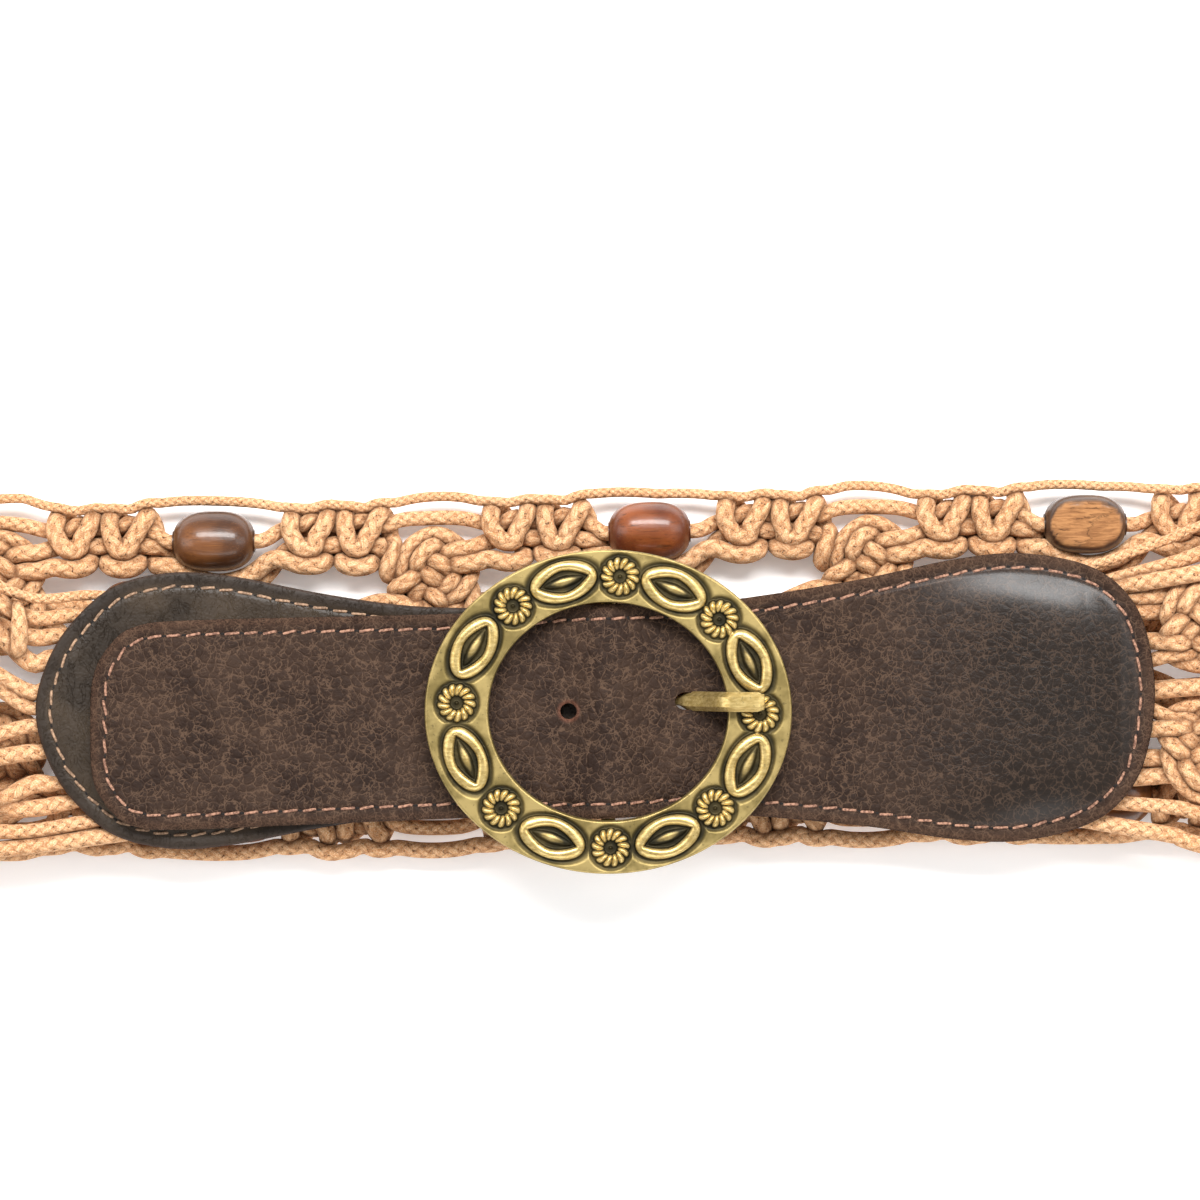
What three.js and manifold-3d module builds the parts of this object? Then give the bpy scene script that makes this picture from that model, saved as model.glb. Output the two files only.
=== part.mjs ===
// A rope belt: a band of knotted cotton cord with wooden beads, leather ends and an oval
// buckle. It is fastened into a loop and lies flat: the leather and the buckle on top, the
// back of the band under them, and a soft fold at each end.
// Millimetres. +X runs along the belt, +Y across it, +Z up from the surface it lies on.

import * as THREE from "three";
import { mergeVertices } from "three/addons/utils/BufferGeometryUtils.js";
import Module from "manifold-3d";

const wasm = await Module();
wasm.setup();

// Fits
const GAP = 0.3; // between pieces that touch
const BORE_PLAY = 1; // the bead's hole over the cord, measured across
const FLAT_CORD = 2; // height of the cord ends pressed between the leather layers

// Cord
const CORD = 3; // diameter of a working cord
const TOP_EDGE_CORD = 2; // the outermost cord on the +Y side is thinner
const BOTTOM_EDGE_CORD = 3.2;

// One repeat of the knotted band, along the belt
const REPEATS = 7;
const SINNET = 21; // two square knots in a row
const BEAD_WINDOW = 29;
const WEAVE_WINDOW = 21.6; // the open stretch beside a flat woven knot
const LEAD_IN = 19.75; // straight cords next to the tab
const BAND_HALF = 37.5; // middle line of the outermost cord, from the band's own middle
const KNOT_HEIGHT = 8.4;
const WEAVE_HEIGHT = 7.8;
const SINNET_WIDTH = 12.4;
const CENTRE_KNOT_WIDTH = 14;
const CENTRE_KNOT_LENGTH = 11;
const WEAVE_WIDTH = 21;
const WEAVE_LENGTH = 23.8; // a little more than its window, so that it meets the sinnets

// Beads
const BEAD_LENGTH = 17.4;
const BEAD_WIDTH = 13;
const BEAD_END = 9.6; // width of the bead's flat end
const BEAD_SLIDE = 5.5; // how far the beads of the lower edge have slid on their cord
const BEAD_SIDES = 10;

// Leather
const PLY = 1.5; // one layer
const TAB_REACH = 120.4; // bar to the tab's round end
const TAB_WIDTH = 58;
const NECK_WIDTH = 43;
const TIP_REACH = 108.6; // bar to the strap's tip
const END_REACH = 114.8; // bar to the strap's wide end
const STRAP_WIDTH = 43;
const END_WIDTH = 60.5;
const STRAP_SKEW = 0.033; // the strap runs a little askew of the tab, as a slope
const POCKET = 7.5; // how far the cord ends reach in between the layers
const STRAP_DROP = 24; // it comes down from the ring's edge over this length
const HOLE = 4; // punched hole
const HOLE_PITCH = 24.6;
const HOLE_STRETCH = 3; // how much longer the prong has pulled its own hole

// Buckle
const RING_LENGTH = 76.6;
const RING_WIDTH = 67.6;
const OPENING_LENGTH = 50;
const OPENING_WIDTH = 45.6;
const RING_HEIGHT = 3.4;
const RECESS = 0.5; // how deep the field lies under the ring's two borders
const RELIEF = 1.3; // how far the cast ornament stands over the field
const ORNAMENTS = 8; // ovals, and as many flowers between them
const OVAL_LENGTH = 14.4;
const OVAL_WIDTH = 8.6;
const FLOWER = 8.2;
const BAR = 3; // diameter of the centre bar
const LUG = 6; // width of the lugs that carry the bar
const PRONG_WIDTH = 3.9;
const PRONG_HEIGHT = 2.4;
const PRONG_REACH = 32.5; // bar to the prong's end
const PRONG_SIDE = 2.1; // how far the prong sits off the ring's middle

// How it lies
const FOLD_RADIUS = 9.5; // of the band's middle surface
const RISE = 71; // the front of the band climbs to the folds over this length
const BAR_X = 1.7;
const RING_Y = -8.6; // the front of the belt lies this far off the back's middle
const LEFT_SHIFT = -9; // the band's middle where it enters the tab
const RIGHT_SHIFT = -4.6; // and where it enters the strap's wide end
const LEFT_SQUEEZE = 0.74; // how far the cords are gathered there
const RIGHT_SQUEEZE = 0.62;
const LEFT_SPREAD = 42; // and the length over which they open out again
const RIGHT_SPREAD = 18;
const SHIFT_SPREAD = 58; // and the length over which the shift fades
const BEND_STEP = 8; // longest straight step of a cord in a fold
const REACH = 40; // taller or wider than any piece that is cut

const MATERIALS = {
  cord: new THREE.MeshStandardMaterial({ color: 0xdba066, roughness: 0.85, metalness: 0 }),
  wood: new THREE.MeshStandardMaterial({ color: 0x7a4420, roughness: 0.35, metalness: 0 }),
  smooth: new THREE.MeshStandardMaterial({ color: 0x3d342c, roughness: 0.5, metalness: 0 }),
  suede: new THREE.MeshStandardMaterial({ color: 0x40291f, roughness: 0.75, metalness: 0 }),
  brass: new THREE.MeshStandardMaterial({ color: 0x8f7b3c, roughness: 0.4, metalness: 1 }),
};

// Small sums

const lerp = THREE.MathUtils.lerp;
const ease = (value, from, to) => THREE.MathUtils.smoothstep(value, from, to);
const squareOf = (diameter) => (diameter * Math.sqrt(Math.PI)) / 2; // side of equal area

// Solids: closed meshes in and out of the boolean library

function solid(geometry) {
  const bare = geometry.clone();
  bare.deleteAttribute("normal");
  bare.deleteAttribute("uv");
  const merged = mergeVertices(bare, 1e-5);
  return new wasm.Manifold(
    new wasm.Mesh({
      numProp: 3,
      vertProperties: new Float32Array(merged.attributes.position.array),
      triVerts: new Uint32Array(merged.index.array),
    }),
  );
}

function geometryOf(body, place = (x, y, z) => new THREE.Vector3(x, y, z)) {
  const mesh = body.getMesh();
  const positions = [];
  for (let i = 0; i < mesh.vertProperties.length; i += mesh.numProp) {
    const [x, y, z] = mesh.vertProperties.slice(i, i + 3);
    positions.push(...place(x, y, z).toArray());
  }
  const geometry = new THREE.BufferGeometry();
  geometry.setAttribute("position", new THREE.Float32BufferAttribute(positions, 3));
  geometry.setIndex([...mesh.triVerts]);
  return geometry;
}

const join = (bodies) => bodies.reduce((whole, body) => whole.add(body));

// A closed skin through rings of points. A ring of one point is an apex.
function loft(rings, { loop = false } = {}) {
  const positions = rings.flat().flatMap((point) => point.toArray());
  const starts = [];
  rings.reduce((start, ring) => (starts.push(start), start + ring.length), 0);
  const faces = [];
  const last = loop ? rings.length : rings.length - 1;
  for (let r = 0; r < last; r += 1) {
    const next = (r + 1) % rings.length;
    const count = Math.max(rings[r].length, rings[next].length);
    for (let i = 0; i < count; i += 1) {
      const j = (i + 1) % count;
      const [a, b] = [i, j].map((k) => starts[r] + (k % rings[r].length));
      const [c, d] = [i, j].map((k) => starts[next] + (k % rings[next].length));
      if (a !== b) faces.push(a, b, d);
      if (c !== d) faces.push(a, d, c);
    }
  }
  if (!loop) {
    for (let i = 1; i < rings[0].length - 1; i += 1) faces.push(0, i + 1, i);
    const top = starts[rings.length - 1];
    for (let i = 1; i < rings.at(-1).length - 1; i += 1) faces.push(top, top + i, top + i + 1);
  }
  const geometry = new THREE.BufferGeometry();
  geometry.setAttribute("position", new THREE.Float32BufferAttribute(positions, 3));
  geometry.setIndex(faces);
  return geometry;
}

const oval = (x, y, z, halfX, halfY, sides, turn = 0) =>
  Array.from({ length: sides }, (_, i) => {
    const angle = ((i + 0.5) / sides) * 2 * Math.PI;
    const [u, v] = [halfX * Math.cos(angle), halfY * Math.sin(angle)];
    return new THREE.Vector3(
      x + u * Math.cos(turn) - v * Math.sin(turn),
      y + u * Math.sin(turn) + v * Math.cos(turn),
      z,
    );
  });

// A side view, given in X and Z, made as wide as asked about the line Y = middle
function slab(outline, width, middle, holes = []) {
  const shape = new THREE.Shape(outline);
  for (const hole of holes) shape.holes.push(new THREE.Path(hole));
  const geometry = new THREE.ExtrudeGeometry(shape, { depth: width, bevelEnabled: false });
  geometry.rotateX(Math.PI / 2);
  geometry.translate(0, middle + width / 2, 0);
  return solid(geometry);
}

// A plan, given in X and Y, as tall as asked from the height z
function plate(outline, z, height) {
  const geometry = new THREE.ExtrudeGeometry(new THREE.Shape(outline), {
    depth: height,
    bevelEnabled: false,
  });
  geometry.translate(0, 0, z);
  return solid(geometry);
}

function block(low, high) {
  const size = new THREE.Vector3().subVectors(high, low);
  const geometry = new THREE.BoxGeometry(size.x, size.y, size.z);
  geometry.translate((low.x + high.x) / 2, (low.y + high.y) / 2, (low.z + high.z) / 2);
  return solid(geometry);
}

const arc = (x, y, radius, from, to, steps) =>
  Array.from({ length: steps + 1 }, (_, i) => {
    const angle = lerp(from, to, i / steps);
    return new THREE.Vector2(x + radius * Math.cos(angle), y + radius * Math.sin(angle));
  });

// Levels, from the surface up

const KNOT_HALF = KNOT_HEIGHT / 2;
const BACK_Z = KNOT_HALF; // the band's middle surface at the back
const BEAD_TOP = BEAD_WIDTH;
const TAB_UNDER = BEAD_TOP + GAP; // the leather lies on the beads of the back
const BODY = 2 * PLY;
const POCKET_HEIGHT = FLAT_CORD + 2 * GAP;
const BAR_Z = TAB_UNDER + PLY + GAP + BAR / 2;
const EYE = BAR / 2 + GAP + PLY; // outer radius of the leather round the bar
const STRAP_OVER_TAB = TAB_UNDER + BODY + GAP;
const STRAP_OVER_BAR = BAR_Z + EYE + GAP;
const HUMP_REACH = OPENING_LENGTH / 3; // the strap comes down again this far from the bar

// The ring clears the strap from where its opening is narrower than the strap
const CLEAR_HALF = STRAP_WIDTH / 2 + 2 * GAP;
const CLEAR_REACH = (OPENING_LENGTH / 2) * Math.sqrt(1 - (CLEAR_HALF / (OPENING_WIDTH / 2)) ** 2);
const RING_Z = STRAP_OVER_TAB + strapHump(CLEAR_REACH) + BODY + GAP; // underside of the ring
const RING_TOP = RING_Z + RING_HEIGHT;
const FIELD_Z = RING_TOP - RECESS;
const ORNAMENT_TOP = FIELD_Z + RELIEF;
const FOLD_Z = BACK_Z + FOLD_RADIUS;
const TOP_Z = FOLD_Z + FOLD_RADIUS;

// The loop that the band's middle surface follows, seen from the side. s is measured along
// the band from the tab, v across it, and w from its middle surface into the loop.

const REPEAT = SINNET + BEAD_WINDOW + SINNET + WEAVE_WINDOW;
const BAND_LENGTH = LEAD_IN + WEAVE_WINDOW + REPEATS * REPEAT;
const TAB_END_X = BAR_X - TAB_REACH;
const STRAP_END_X = BAR_X + END_REACH;
const TURN_LENGTH = Math.PI * FOLD_RADIUS;
const FOLD_X = (BAND_LENGTH + STRAP_END_X - TAB_END_X - 2 * TURN_LENGTH) / 4;
const LEFT_FOLD = FOLD_X + TAB_END_X; // s where the left fold starts
const BACK_START = LEFT_FOLD + TURN_LENGTH;
const BACK_END = BACK_START + 2 * FOLD_X;
const FRONT_START = BACK_END + TURN_LENGTH;

// Where the beads are along a repeat
const BEAD_AT = SINNET + 0.483 * BEAD_WINDOW;
const INNER_BEAD_AT = SINNET - 1.5;
const REPEAT_START = LEAD_IN + WEAVE_WINDOW;

// The tab's end sinks between the beads of the back, or stays up if a bead lies under it
const POCKET_STEP = 2; // the length of the step behind the pocket
const overBead = Array.from({ length: REPEATS }, (_, n) => REPEAT_START + n * REPEAT)
  .flatMap((start) => [BEAD_AT, BEAD_AT + BEAD_SLIDE, INNER_BEAD_AT].map((at) => start + at))
  .map((s) => s - BACK_START - FOLD_X - TAB_END_X)
  .some((ahead) => ahead > -BEAD_LENGTH / 2 - GAP && ahead < POCKET + POCKET_STEP + BEAD_LENGTH / 2 + GAP);
const TAB_END_DROP = overBead ? 0 : (2 * PLY + POCKET_HEIGHT - BODY) * 0.7;
const LEFT_POCKET_Z = TAB_UNDER - TAB_END_DROP + PLY;
const RIGHT_POCKET_Z = TAB_UNDER + PLY;

function station(s) {
  if (s < LEFT_FOLD) {
    const z = lerp(LEFT_POCKET_Z + POCKET_HEIGHT / 2, TOP_Z, ease(s, 0, RISE));
    return { x: TAB_END_X - s, z, across: 0, inward: -1 };
  }
  if (s < BACK_START) {
    const angle = (s - LEFT_FOLD) / FOLD_RADIUS;
    const [across, inward] = [Math.sin(angle), -Math.cos(angle)];
    return { x: -FOLD_X - FOLD_RADIUS * across, z: FOLD_Z - FOLD_RADIUS * inward, across, inward };
  }
  if (s < BACK_END) return { x: s - BACK_START - FOLD_X, z: BACK_Z, across: 0, inward: 1 };
  if (s < FRONT_START) {
    const angle = (s - BACK_END) / FOLD_RADIUS;
    const [across, inward] = [-Math.sin(angle), Math.cos(angle)];
    return { x: FOLD_X - FOLD_RADIUS * across, z: FOLD_Z - FOLD_RADIUS * inward, across, inward };
  }
  const left = BAND_LENGTH - s;
  const z = lerp(RIGHT_POCKET_Z + POCKET_HEIGHT / 2, TOP_Z, ease(left, 0, RISE));
  return { x: STRAP_END_X + left, z, across: 0, inward: -1 };
}

function lay(s, v, w) {
  const { x, z, across, inward } = station(s);
  const left = BAND_LENGTH - s;
  const gather =
    lerp(LEFT_SQUEEZE, 1, ease(s, 0, LEFT_SPREAD)) * lerp(RIGHT_SQUEEZE, 1, ease(left, 0, RIGHT_SPREAD));
  const shift =
    lerp(LEFT_SHIFT, 0, ease(s, 0, SHIFT_SPREAD)) + lerp(RIGHT_SHIFT, 0, ease(left, 0, SHIFT_SPREAD));
  return new THREE.Vector3(x + w * across, v * gather + shift, z + w * inward);
}

const atBack = (s) => s > BACK_START && s < BACK_END;
const inFold = (s) => (s > LEFT_FOLD && s < BACK_START) || (s > BACK_END && s < FRONT_START);

// The knotted band, made flat and then laid along the loop

// A cord of square section through points [s, v, w], in short steps where a fold bends it
function bar(route, width, height = width) {
  const points = [];
  route.slice(1).forEach((end, i) => {
    const start = route[i];
    const bends = inFold(start[0]) || inFold(end[0]);
    const steps = bends ? Math.ceil(Math.hypot(end[0] - start[0], end[1] - start[1]) / BEND_STEP) : 1;
    for (let k = 0; k < steps; k += 1) {
      points.push(new THREE.Vector3(...start.map((value, axis) => lerp(value, end[axis], k / steps))));
    }
  });
  points.push(new THREE.Vector3(...route.at(-1)));
  const rings = points.map((point, i) => {
    const before = points[Math.max(i - 1, 0)];
    const after = points[Math.min(i + 1, points.length - 1)];
    const along = new THREE.Vector2(after.x - before.x, after.y - before.y).normalize();
    const corner = (side, up) =>
      new THREE.Vector3(
        point.x - (along.y * side * width) / 2,
        point.y + (along.x * side * width) / 2,
        point.z + (up * height) / 2,
      );
    return [corner(-1, -1), corner(1, -1), corner(1, 1), corner(-1, 1)];
  });
  return solid(loft(rings));
}

// A knot is a pillow: flat under and over, with upright sides and sloping shoulders. In a
// fold it is made of slices along the band, which bend with it.
function knot(s, v, length, width, height, sides) {
  const upright = 0.45;
  const flat = 0.78;
  const corner = 1 / Math.cos(Math.PI / sides); // a ring's corners lie outside its flats
  const level = (w, share) =>
    oval(s, v, w, (corner * length * share) / 2, (corner * width * share) / 2, sides);
  if (!inFold(s - length / 2) && !inFold(s + length / 2)) {
    const side = (height * upright) / 2;
    return solid(
      loft([level(-height / 2, flat), level(-side, 1), level(side, 1), level(height / 2, flat)]),
    );
  }
  const slices = Math.ceil(length / (0.7 * BEND_STEP));
  const slice = (along, share) =>
    Array.from({ length: 6 }, (_, i) => {
      const angle = (i / 6) * 2 * Math.PI;
      const [across, up] = [Math.cos(angle), Math.sin(angle) / Math.sin(Math.PI / 3)];
      return new THREE.Vector3(along, v + (across * share * width) / 2, (up * share * height) / 2);
    });
  const rings = Array.from({ length: slices + 1 }, (_, i) => {
    const end = i === 0 || i === slices;
    return slice(s + length * (i / slices - 0.5), end ? flat : 1);
  });
  return solid(loft(rings));
}

const SINNET_V = BAND_HALF - SINNET_WIDTH / 2 - TOP_EDGE_CORD * 0.85;
const EDGE_DIP_V = SINNET_V + SINNET_WIDTH / 2;
const BEAD_V = SINNET_V - 0.06 * SINNET_WIDTH;
const WEAVE_V = SINNET_V - SINNET_WIDTH / 2 - 0.255 * WEAVE_WIDTH;
const INNER_BEAD_V = BEAD_V / 2;
const CENTRE_AT = BEAD_AT + 3;
const SECOND_SINNET_AT = SINNET + BEAD_WINDOW;
const WEAVE_AT = 2 * SINNET + BEAD_WINDOW + WEAVE_WINDOW / 2;

const edgeBeadAt = (start, side) => start + BEAD_AT + (side < 0 ? BEAD_SLIDE : 0);
const beadLift = (s) => (atBack(s) ? BEAD_WIDTH / 2 - KNOT_HALF : 0);

const sinnet = (start, side) =>
  knot(start + SINNET / 2, side * SINNET_V, SINNET, SINNET_WIDTH, KNOT_HEIGHT, 4);

// The cord that carries a bead runs level through it and comes down to the knots beside it
function beadCord(at, v, side, before, after) {
  const lift = beadLift(at);
  const half = BEAD_LENGTH / 2 + 0.8;
  return bar(
    [
      [before[0], side * before[1], 0],
      [at - half, side * v, lift],
      [at + half, side * v, lift],
      [after[0], side * after[1], 0],
    ],
    squareOf(CORD),
  );
}

const twoCords = 2 * squareOf(CORD);

// The edge bead on its cord, and the cord that dips under the bead from sinnet to sinnet
function edgeWindow(start, side) {
  const opens = start + SINNET;
  const closes = start + SECOND_SINNET_AT;
  const bead = edgeBeadAt(start, side);
  const top = SINNET_V - 0.33 * SINNET_WIDTH;
  const dip = BEAD_V - BEAD_WIDTH / 2 - 1.5 * CORD;
  return [
    beadCord(bead, BEAD_V, side, [opens - 3, SINNET_V], [closes + 3, SINNET_V]),
    bar(
      [
        [opens - 2, side * top, 0],
        [opens + 0.276 * BEAD_WINDOW, side * lerp(dip, top, 0.45), 0],
        [opens + 0.79 * BEAD_WINDOW, side * dip, 0],
        [closes + 3, side * (top - 1), 0],
      ],
      squareOf(CORD),
    ),
  ];
}

function middleCords(start, side) {
  const weaveEdge = -WEAVE_WINDOW / 2 + WEAVE_WINDOW * 0.38; // the woven knot before this repeat
  const inner = start + INNER_BEAD_AT;
  const centre = start + CENTRE_AT;
  const low = CENTRE_KNOT_WIDTH * 0.3;
  return [
    beadCord(
      inner,
      INNER_BEAD_V,
      side,
      [start + weaveEdge, WEAVE_V - 0.1 * WEAVE_WIDTH],
      [centre - 2, CENTRE_KNOT_WIDTH * 0.38],
    ),
    bar(
      [
        [start + weaveEdge, side * (WEAVE_V - 0.31 * WEAVE_WIDTH), 0],
        [start + 0.42 * SINNET, side * low * 1.33, 0],
        [centre - CENTRE_KNOT_LENGTH * 0.4, side * low, 0],
      ],
      squareOf(CORD),
    ),
    bar(
      [
        [centre + CENTRE_KNOT_LENGTH * 0.3, side * low * 1.05, 0],
        [start + WEAVE_AT - 0.26 * WEAVE_WINDOW, side * (WEAVE_V - 0.28 * WEAVE_WIDTH), 0],
      ],
      twoCords,
      squareOf(CORD),
    ),
  ];
}

// The flat woven knot, which reaches from sinnet to sinnet, and the cord that passes it
function weave(centre, side) {
  const half = WEAVE_WINDOW / 2;
  const pass = SINNET_V + 0.24 * SINNET_WIDTH;
  return [
    knot(centre, side * WEAVE_V, WEAVE_LENGTH, WEAVE_WIDTH, WEAVE_HEIGHT, 6),
    bar(
      [
        [centre - half - 2, side * pass, 0],
        [centre + half + 2, side * pass, 0],
      ],
      squareOf(CORD),
    ),
  ];
}

// The outermost cord swings out at each window and in over each sinnet
function edgeCord(side) {
  const dip = (at) => [at, side * EDGE_DIP_V, 0];
  const out = (at) => [at, side * BAND_HALF, 0];
  const pocketEnd = POCKET - GAP;
  const route = [dip(-pocketEnd), dip(LEAD_IN - 2), out(LEAD_IN + WEAVE_WINDOW / 2)];
  for (let n = 0; n < REPEATS; n += 1) {
    const start = REPEAT_START + n * REPEAT;
    const second = start + SECOND_SINNET_AT;
    route.push(dip(start + SINNET / 2), out(start + BEAD_AT));
    route.push(dip(second + SINNET / 2), out(start + WEAVE_AT));
  }
  route.push(dip(BAND_LENGTH - 1), dip(BAND_LENGTH + pocketEnd));
  return bar(route, squareOf(side > 0 ? TOP_EDGE_CORD : BOTTOM_EDGE_CORD), FLAT_CORD);
}

// Straight cords beside the tab, four to a group, and the ones that go on into the weave
function leadIn() {
  const start = -POCKET + GAP;
  const group = SINNET_WIDTH + TOP_EDGE_CORD;
  const parts = [
    bar([[start, 0, 0], [LEAD_IN - 4, 0, 0]], CENTRE_KNOT_WIDTH + 2, FLAT_CORD),
  ];
  for (const side of [-1, 1]) {
    parts.push(
      bar([[start, side * SINNET_V, 0], [LEAD_IN + 1, side * SINNET_V, 0]], group, FLAT_CORD),
      bar(
        [
          [LEAD_IN - 8, side * 0.3 * CENTRE_KNOT_WIDTH, 0],
          [LEAD_IN + 0.2 * WEAVE_WINDOW, side * (WEAVE_V - 0.25 * WEAVE_WIDTH), 0],
        ],
        twoCords,
        FLAT_CORD,
      ),
    );
  }
  return parts;
}

function leadOut() {
  const end = BAND_LENGTH + POCKET - GAP;
  const parts = [bar([[BAND_LENGTH - 4, 0, 0], [end, 0, 0]], CENTRE_KNOT_WIDTH, FLAT_CORD)];
  for (const side of [-1, 1]) {
    parts.push(
      bar(
        [[BAND_LENGTH - 6, side * WEAVE_V, 0], [end, side * WEAVE_V, 0]],
        0.7 * WEAVE_WIDTH,
        FLAT_CORD,
      ),
      bar(
        [
          [BAND_LENGTH - 0.35 * WEAVE_WINDOW, side * (WEAVE_V - 0.3 * WEAVE_WIDTH), 0],
          [BAND_LENGTH + 1, side * 0.3 * CENTRE_KNOT_WIDTH, 0],
        ],
        twoCords,
        FLAT_CORD,
      ),
    );
  }
  return parts;
}

function macrameBand() {
  const parts = [...leadIn(), ...leadOut()];
  for (const side of [-1, 1]) {
    parts.push(edgeCord(side), ...weave(LEAD_IN + WEAVE_WINDOW / 2, side));
    for (let n = 0; n < REPEATS; n += 1) {
      const start = REPEAT_START + n * REPEAT;
      parts.push(sinnet(start, side), sinnet(start + SECOND_SINNET_AT, side));
      parts.push(...edgeWindow(start, side), ...middleCords(start, side));
      const last = n === REPEATS - 1; // the last one stops short of the leather
      parts.push(...weave(start + WEAVE_AT - (last ? WEAVE_LENGTH - WEAVE_WINDOW : 0), side));
    }
  }
  for (let n = 0; n < REPEATS; n += 1) {
    const centre = REPEAT_START + n * REPEAT + CENTRE_AT;
    parts.push(knot(centre, 0, CENTRE_KNOT_LENGTH, CENTRE_KNOT_WIDTH, KNOT_HEIGHT, 4));
  }
  return geometryOf(join(parts), lay);
}

// Beads: turned barrels with a straight hole

function beadShape() {
  const half = BEAD_LENGTH / 2;
  const hole = (CORD + BORE_PLAY) / 2;
  const profile = [
    [hole, -half],
    [BEAD_END / 2, -half],
    [BEAD_WIDTH / 2, 0],
    [BEAD_END / 2, half],
    [hole, half],
    [hole, -half],
  ].map((point) => new THREE.Vector2(...point));
  const geometry = new THREE.LatheGeometry(profile, BEAD_SIDES);
  geometry.rotateY(Math.PI / BEAD_SIDES);
  return geometryOf(solid(geometry));
}

function bead(name, shape, s, v) {
  const lift = beadLift(s);
  const from = lay(s - BEAD_LENGTH / 2, v, lift);
  const to = lay(s + BEAD_LENGTH / 2, v, lift);
  const mesh = new THREE.Mesh(shape, MATERIALS.wood);
  mesh.name = name;
  mesh.position.lerpVectors(from, to, 0.5);
  const along = new THREE.Vector3().subVectors(to, from).normalize();
  mesh.quaternion.setFromUnitVectors(new THREE.Vector3(0, 1, 0), along);
  return mesh;
}

function beads() {
  const shape = beadShape();
  const rows = [
    { name: "bead_edge_top", side: 1, v: BEAD_V, at: (start) => edgeBeadAt(start, 1) },
    { name: "bead_edge_bottom", side: -1, v: BEAD_V, at: (start) => edgeBeadAt(start, -1) },
    { name: "bead_inner_top", side: 1, v: INNER_BEAD_V, at: (start) => start + INNER_BEAD_AT },
    { name: "bead_inner_bottom", side: -1, v: INNER_BEAD_V, at: (start) => start + INNER_BEAD_AT },
  ];
  return rows.flatMap((row) =>
    Array.from({ length: REPEATS }, (_, n) =>
      bead(`${row.name}_${n + 1}`, shape, row.at(REPEAT_START + n * REPEAT), row.side * row.v),
    ),
  );
}

// Leather outlines: along is a share of the reach to the left (below 0) or right of the bar,
// flare how much of the way from the narrow to the wide width, close how far the end rounds in

const TAB_EDGE = [
  { along: -1, flare: 1, close: 0 },
  { along: -0.985, flare: 1, close: 0.3 },
  { along: -0.945, flare: 1, close: 0.6 },
  { along: -0.87, flare: 1, close: 0.89 },
  { along: -0.77, flare: 1, close: 1 },
  { along: -0.66, flare: 0.91, close: 1 },
  { along: -0.5, flare: 0.42, close: 1 },
  { along: -0.35, flare: 0.08, close: 1 },
  { along: -0.2, flare: 0, close: 1 },
];

const STRAP_EDGE = [
  { along: -1, flare: 0, close: 0 },
  { along: -0.995, flare: 0, close: 0.5 },
  { along: -0.96, flare: 0, close: 0.82 },
  { along: -0.91, flare: 0, close: 0.98 },
  { along: -0.8, flare: 0.05, close: 1 },
  { along: -0.35, flare: 0, close: 1 },
  { along: 0, flare: 0, close: 1 },
  { along: 0.13, flare: 0.01, close: 1 },
  { along: 0.3, flare: 0.22, close: 1 },
  { along: 0.47, flare: 0.52, close: 1 },
  { along: 0.64, flare: 0.92, close: 1 },
  { along: 0.76, flare: 1, close: 1 },
  { along: 0.88, flare: 1, close: 0.9 },
  { along: 0.95, flare: 1, close: 0.69 },
  { along: 0.985, flare: 1, close: 0.42 },
  { along: 1, flare: 1, close: 0 },
];

// A plan's outline as a smooth curve, round at both ends or cut square at the right
function plan(table, { left, right = left, narrow, wide, slope = 0, points, cutAt = null }) {
  const place = (x, half) => new THREE.Vector3(BAR_X + x, RING_Y + slope * x + half, 0);
  const edge = (side) =>
    table.map(({ along, flare, close }) => {
      const half = (lerp(narrow, wide, flare) / 2) * close;
      return place(along * (along < 0 ? left : right), side * half);
    });
  const route = [...edge(1).reverse(), ...edge(-1).slice(1)];
  const round = cutAt === null;
  if (round) route.pop();
  const curve = new THREE.CatmullRomCurve3(route, round, "centripetal");
  const outline = curve.getPoints(points);
  if (round) outline.pop();
  else outline.push(place(cutAt, -narrow / 2), place(cutAt, narrow / 2));
  return outline.map((point) => new THREE.Vector2(point.x, point.y));
}

// How far the strap stands up over the bar, by the distance from it
function strapHump(reach) {
  const away = THREE.MathUtils.clamp((reach - EYE) / (HUMP_REACH - EYE), 0, 1);
  return (STRAP_OVER_BAR - STRAP_OVER_TAB) * (1 - away) ** 3;
}

// The strap's underside: over the tab, up over the bar, and down onto the beads at the right
function strapUnder(x) {
  const edge = BAR_X + RING_LENGTH / 2;
  const drop = (STRAP_OVER_TAB - TAB_UNDER) * ease(x, edge + GAP, edge + STRAP_DROP);
  return STRAP_OVER_TAB + strapHump(Math.abs(x - BAR_X)) - drop;
}

const PRONG_HOLE_X = BAR_X + HOLE_PITCH * 0.663;

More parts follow.
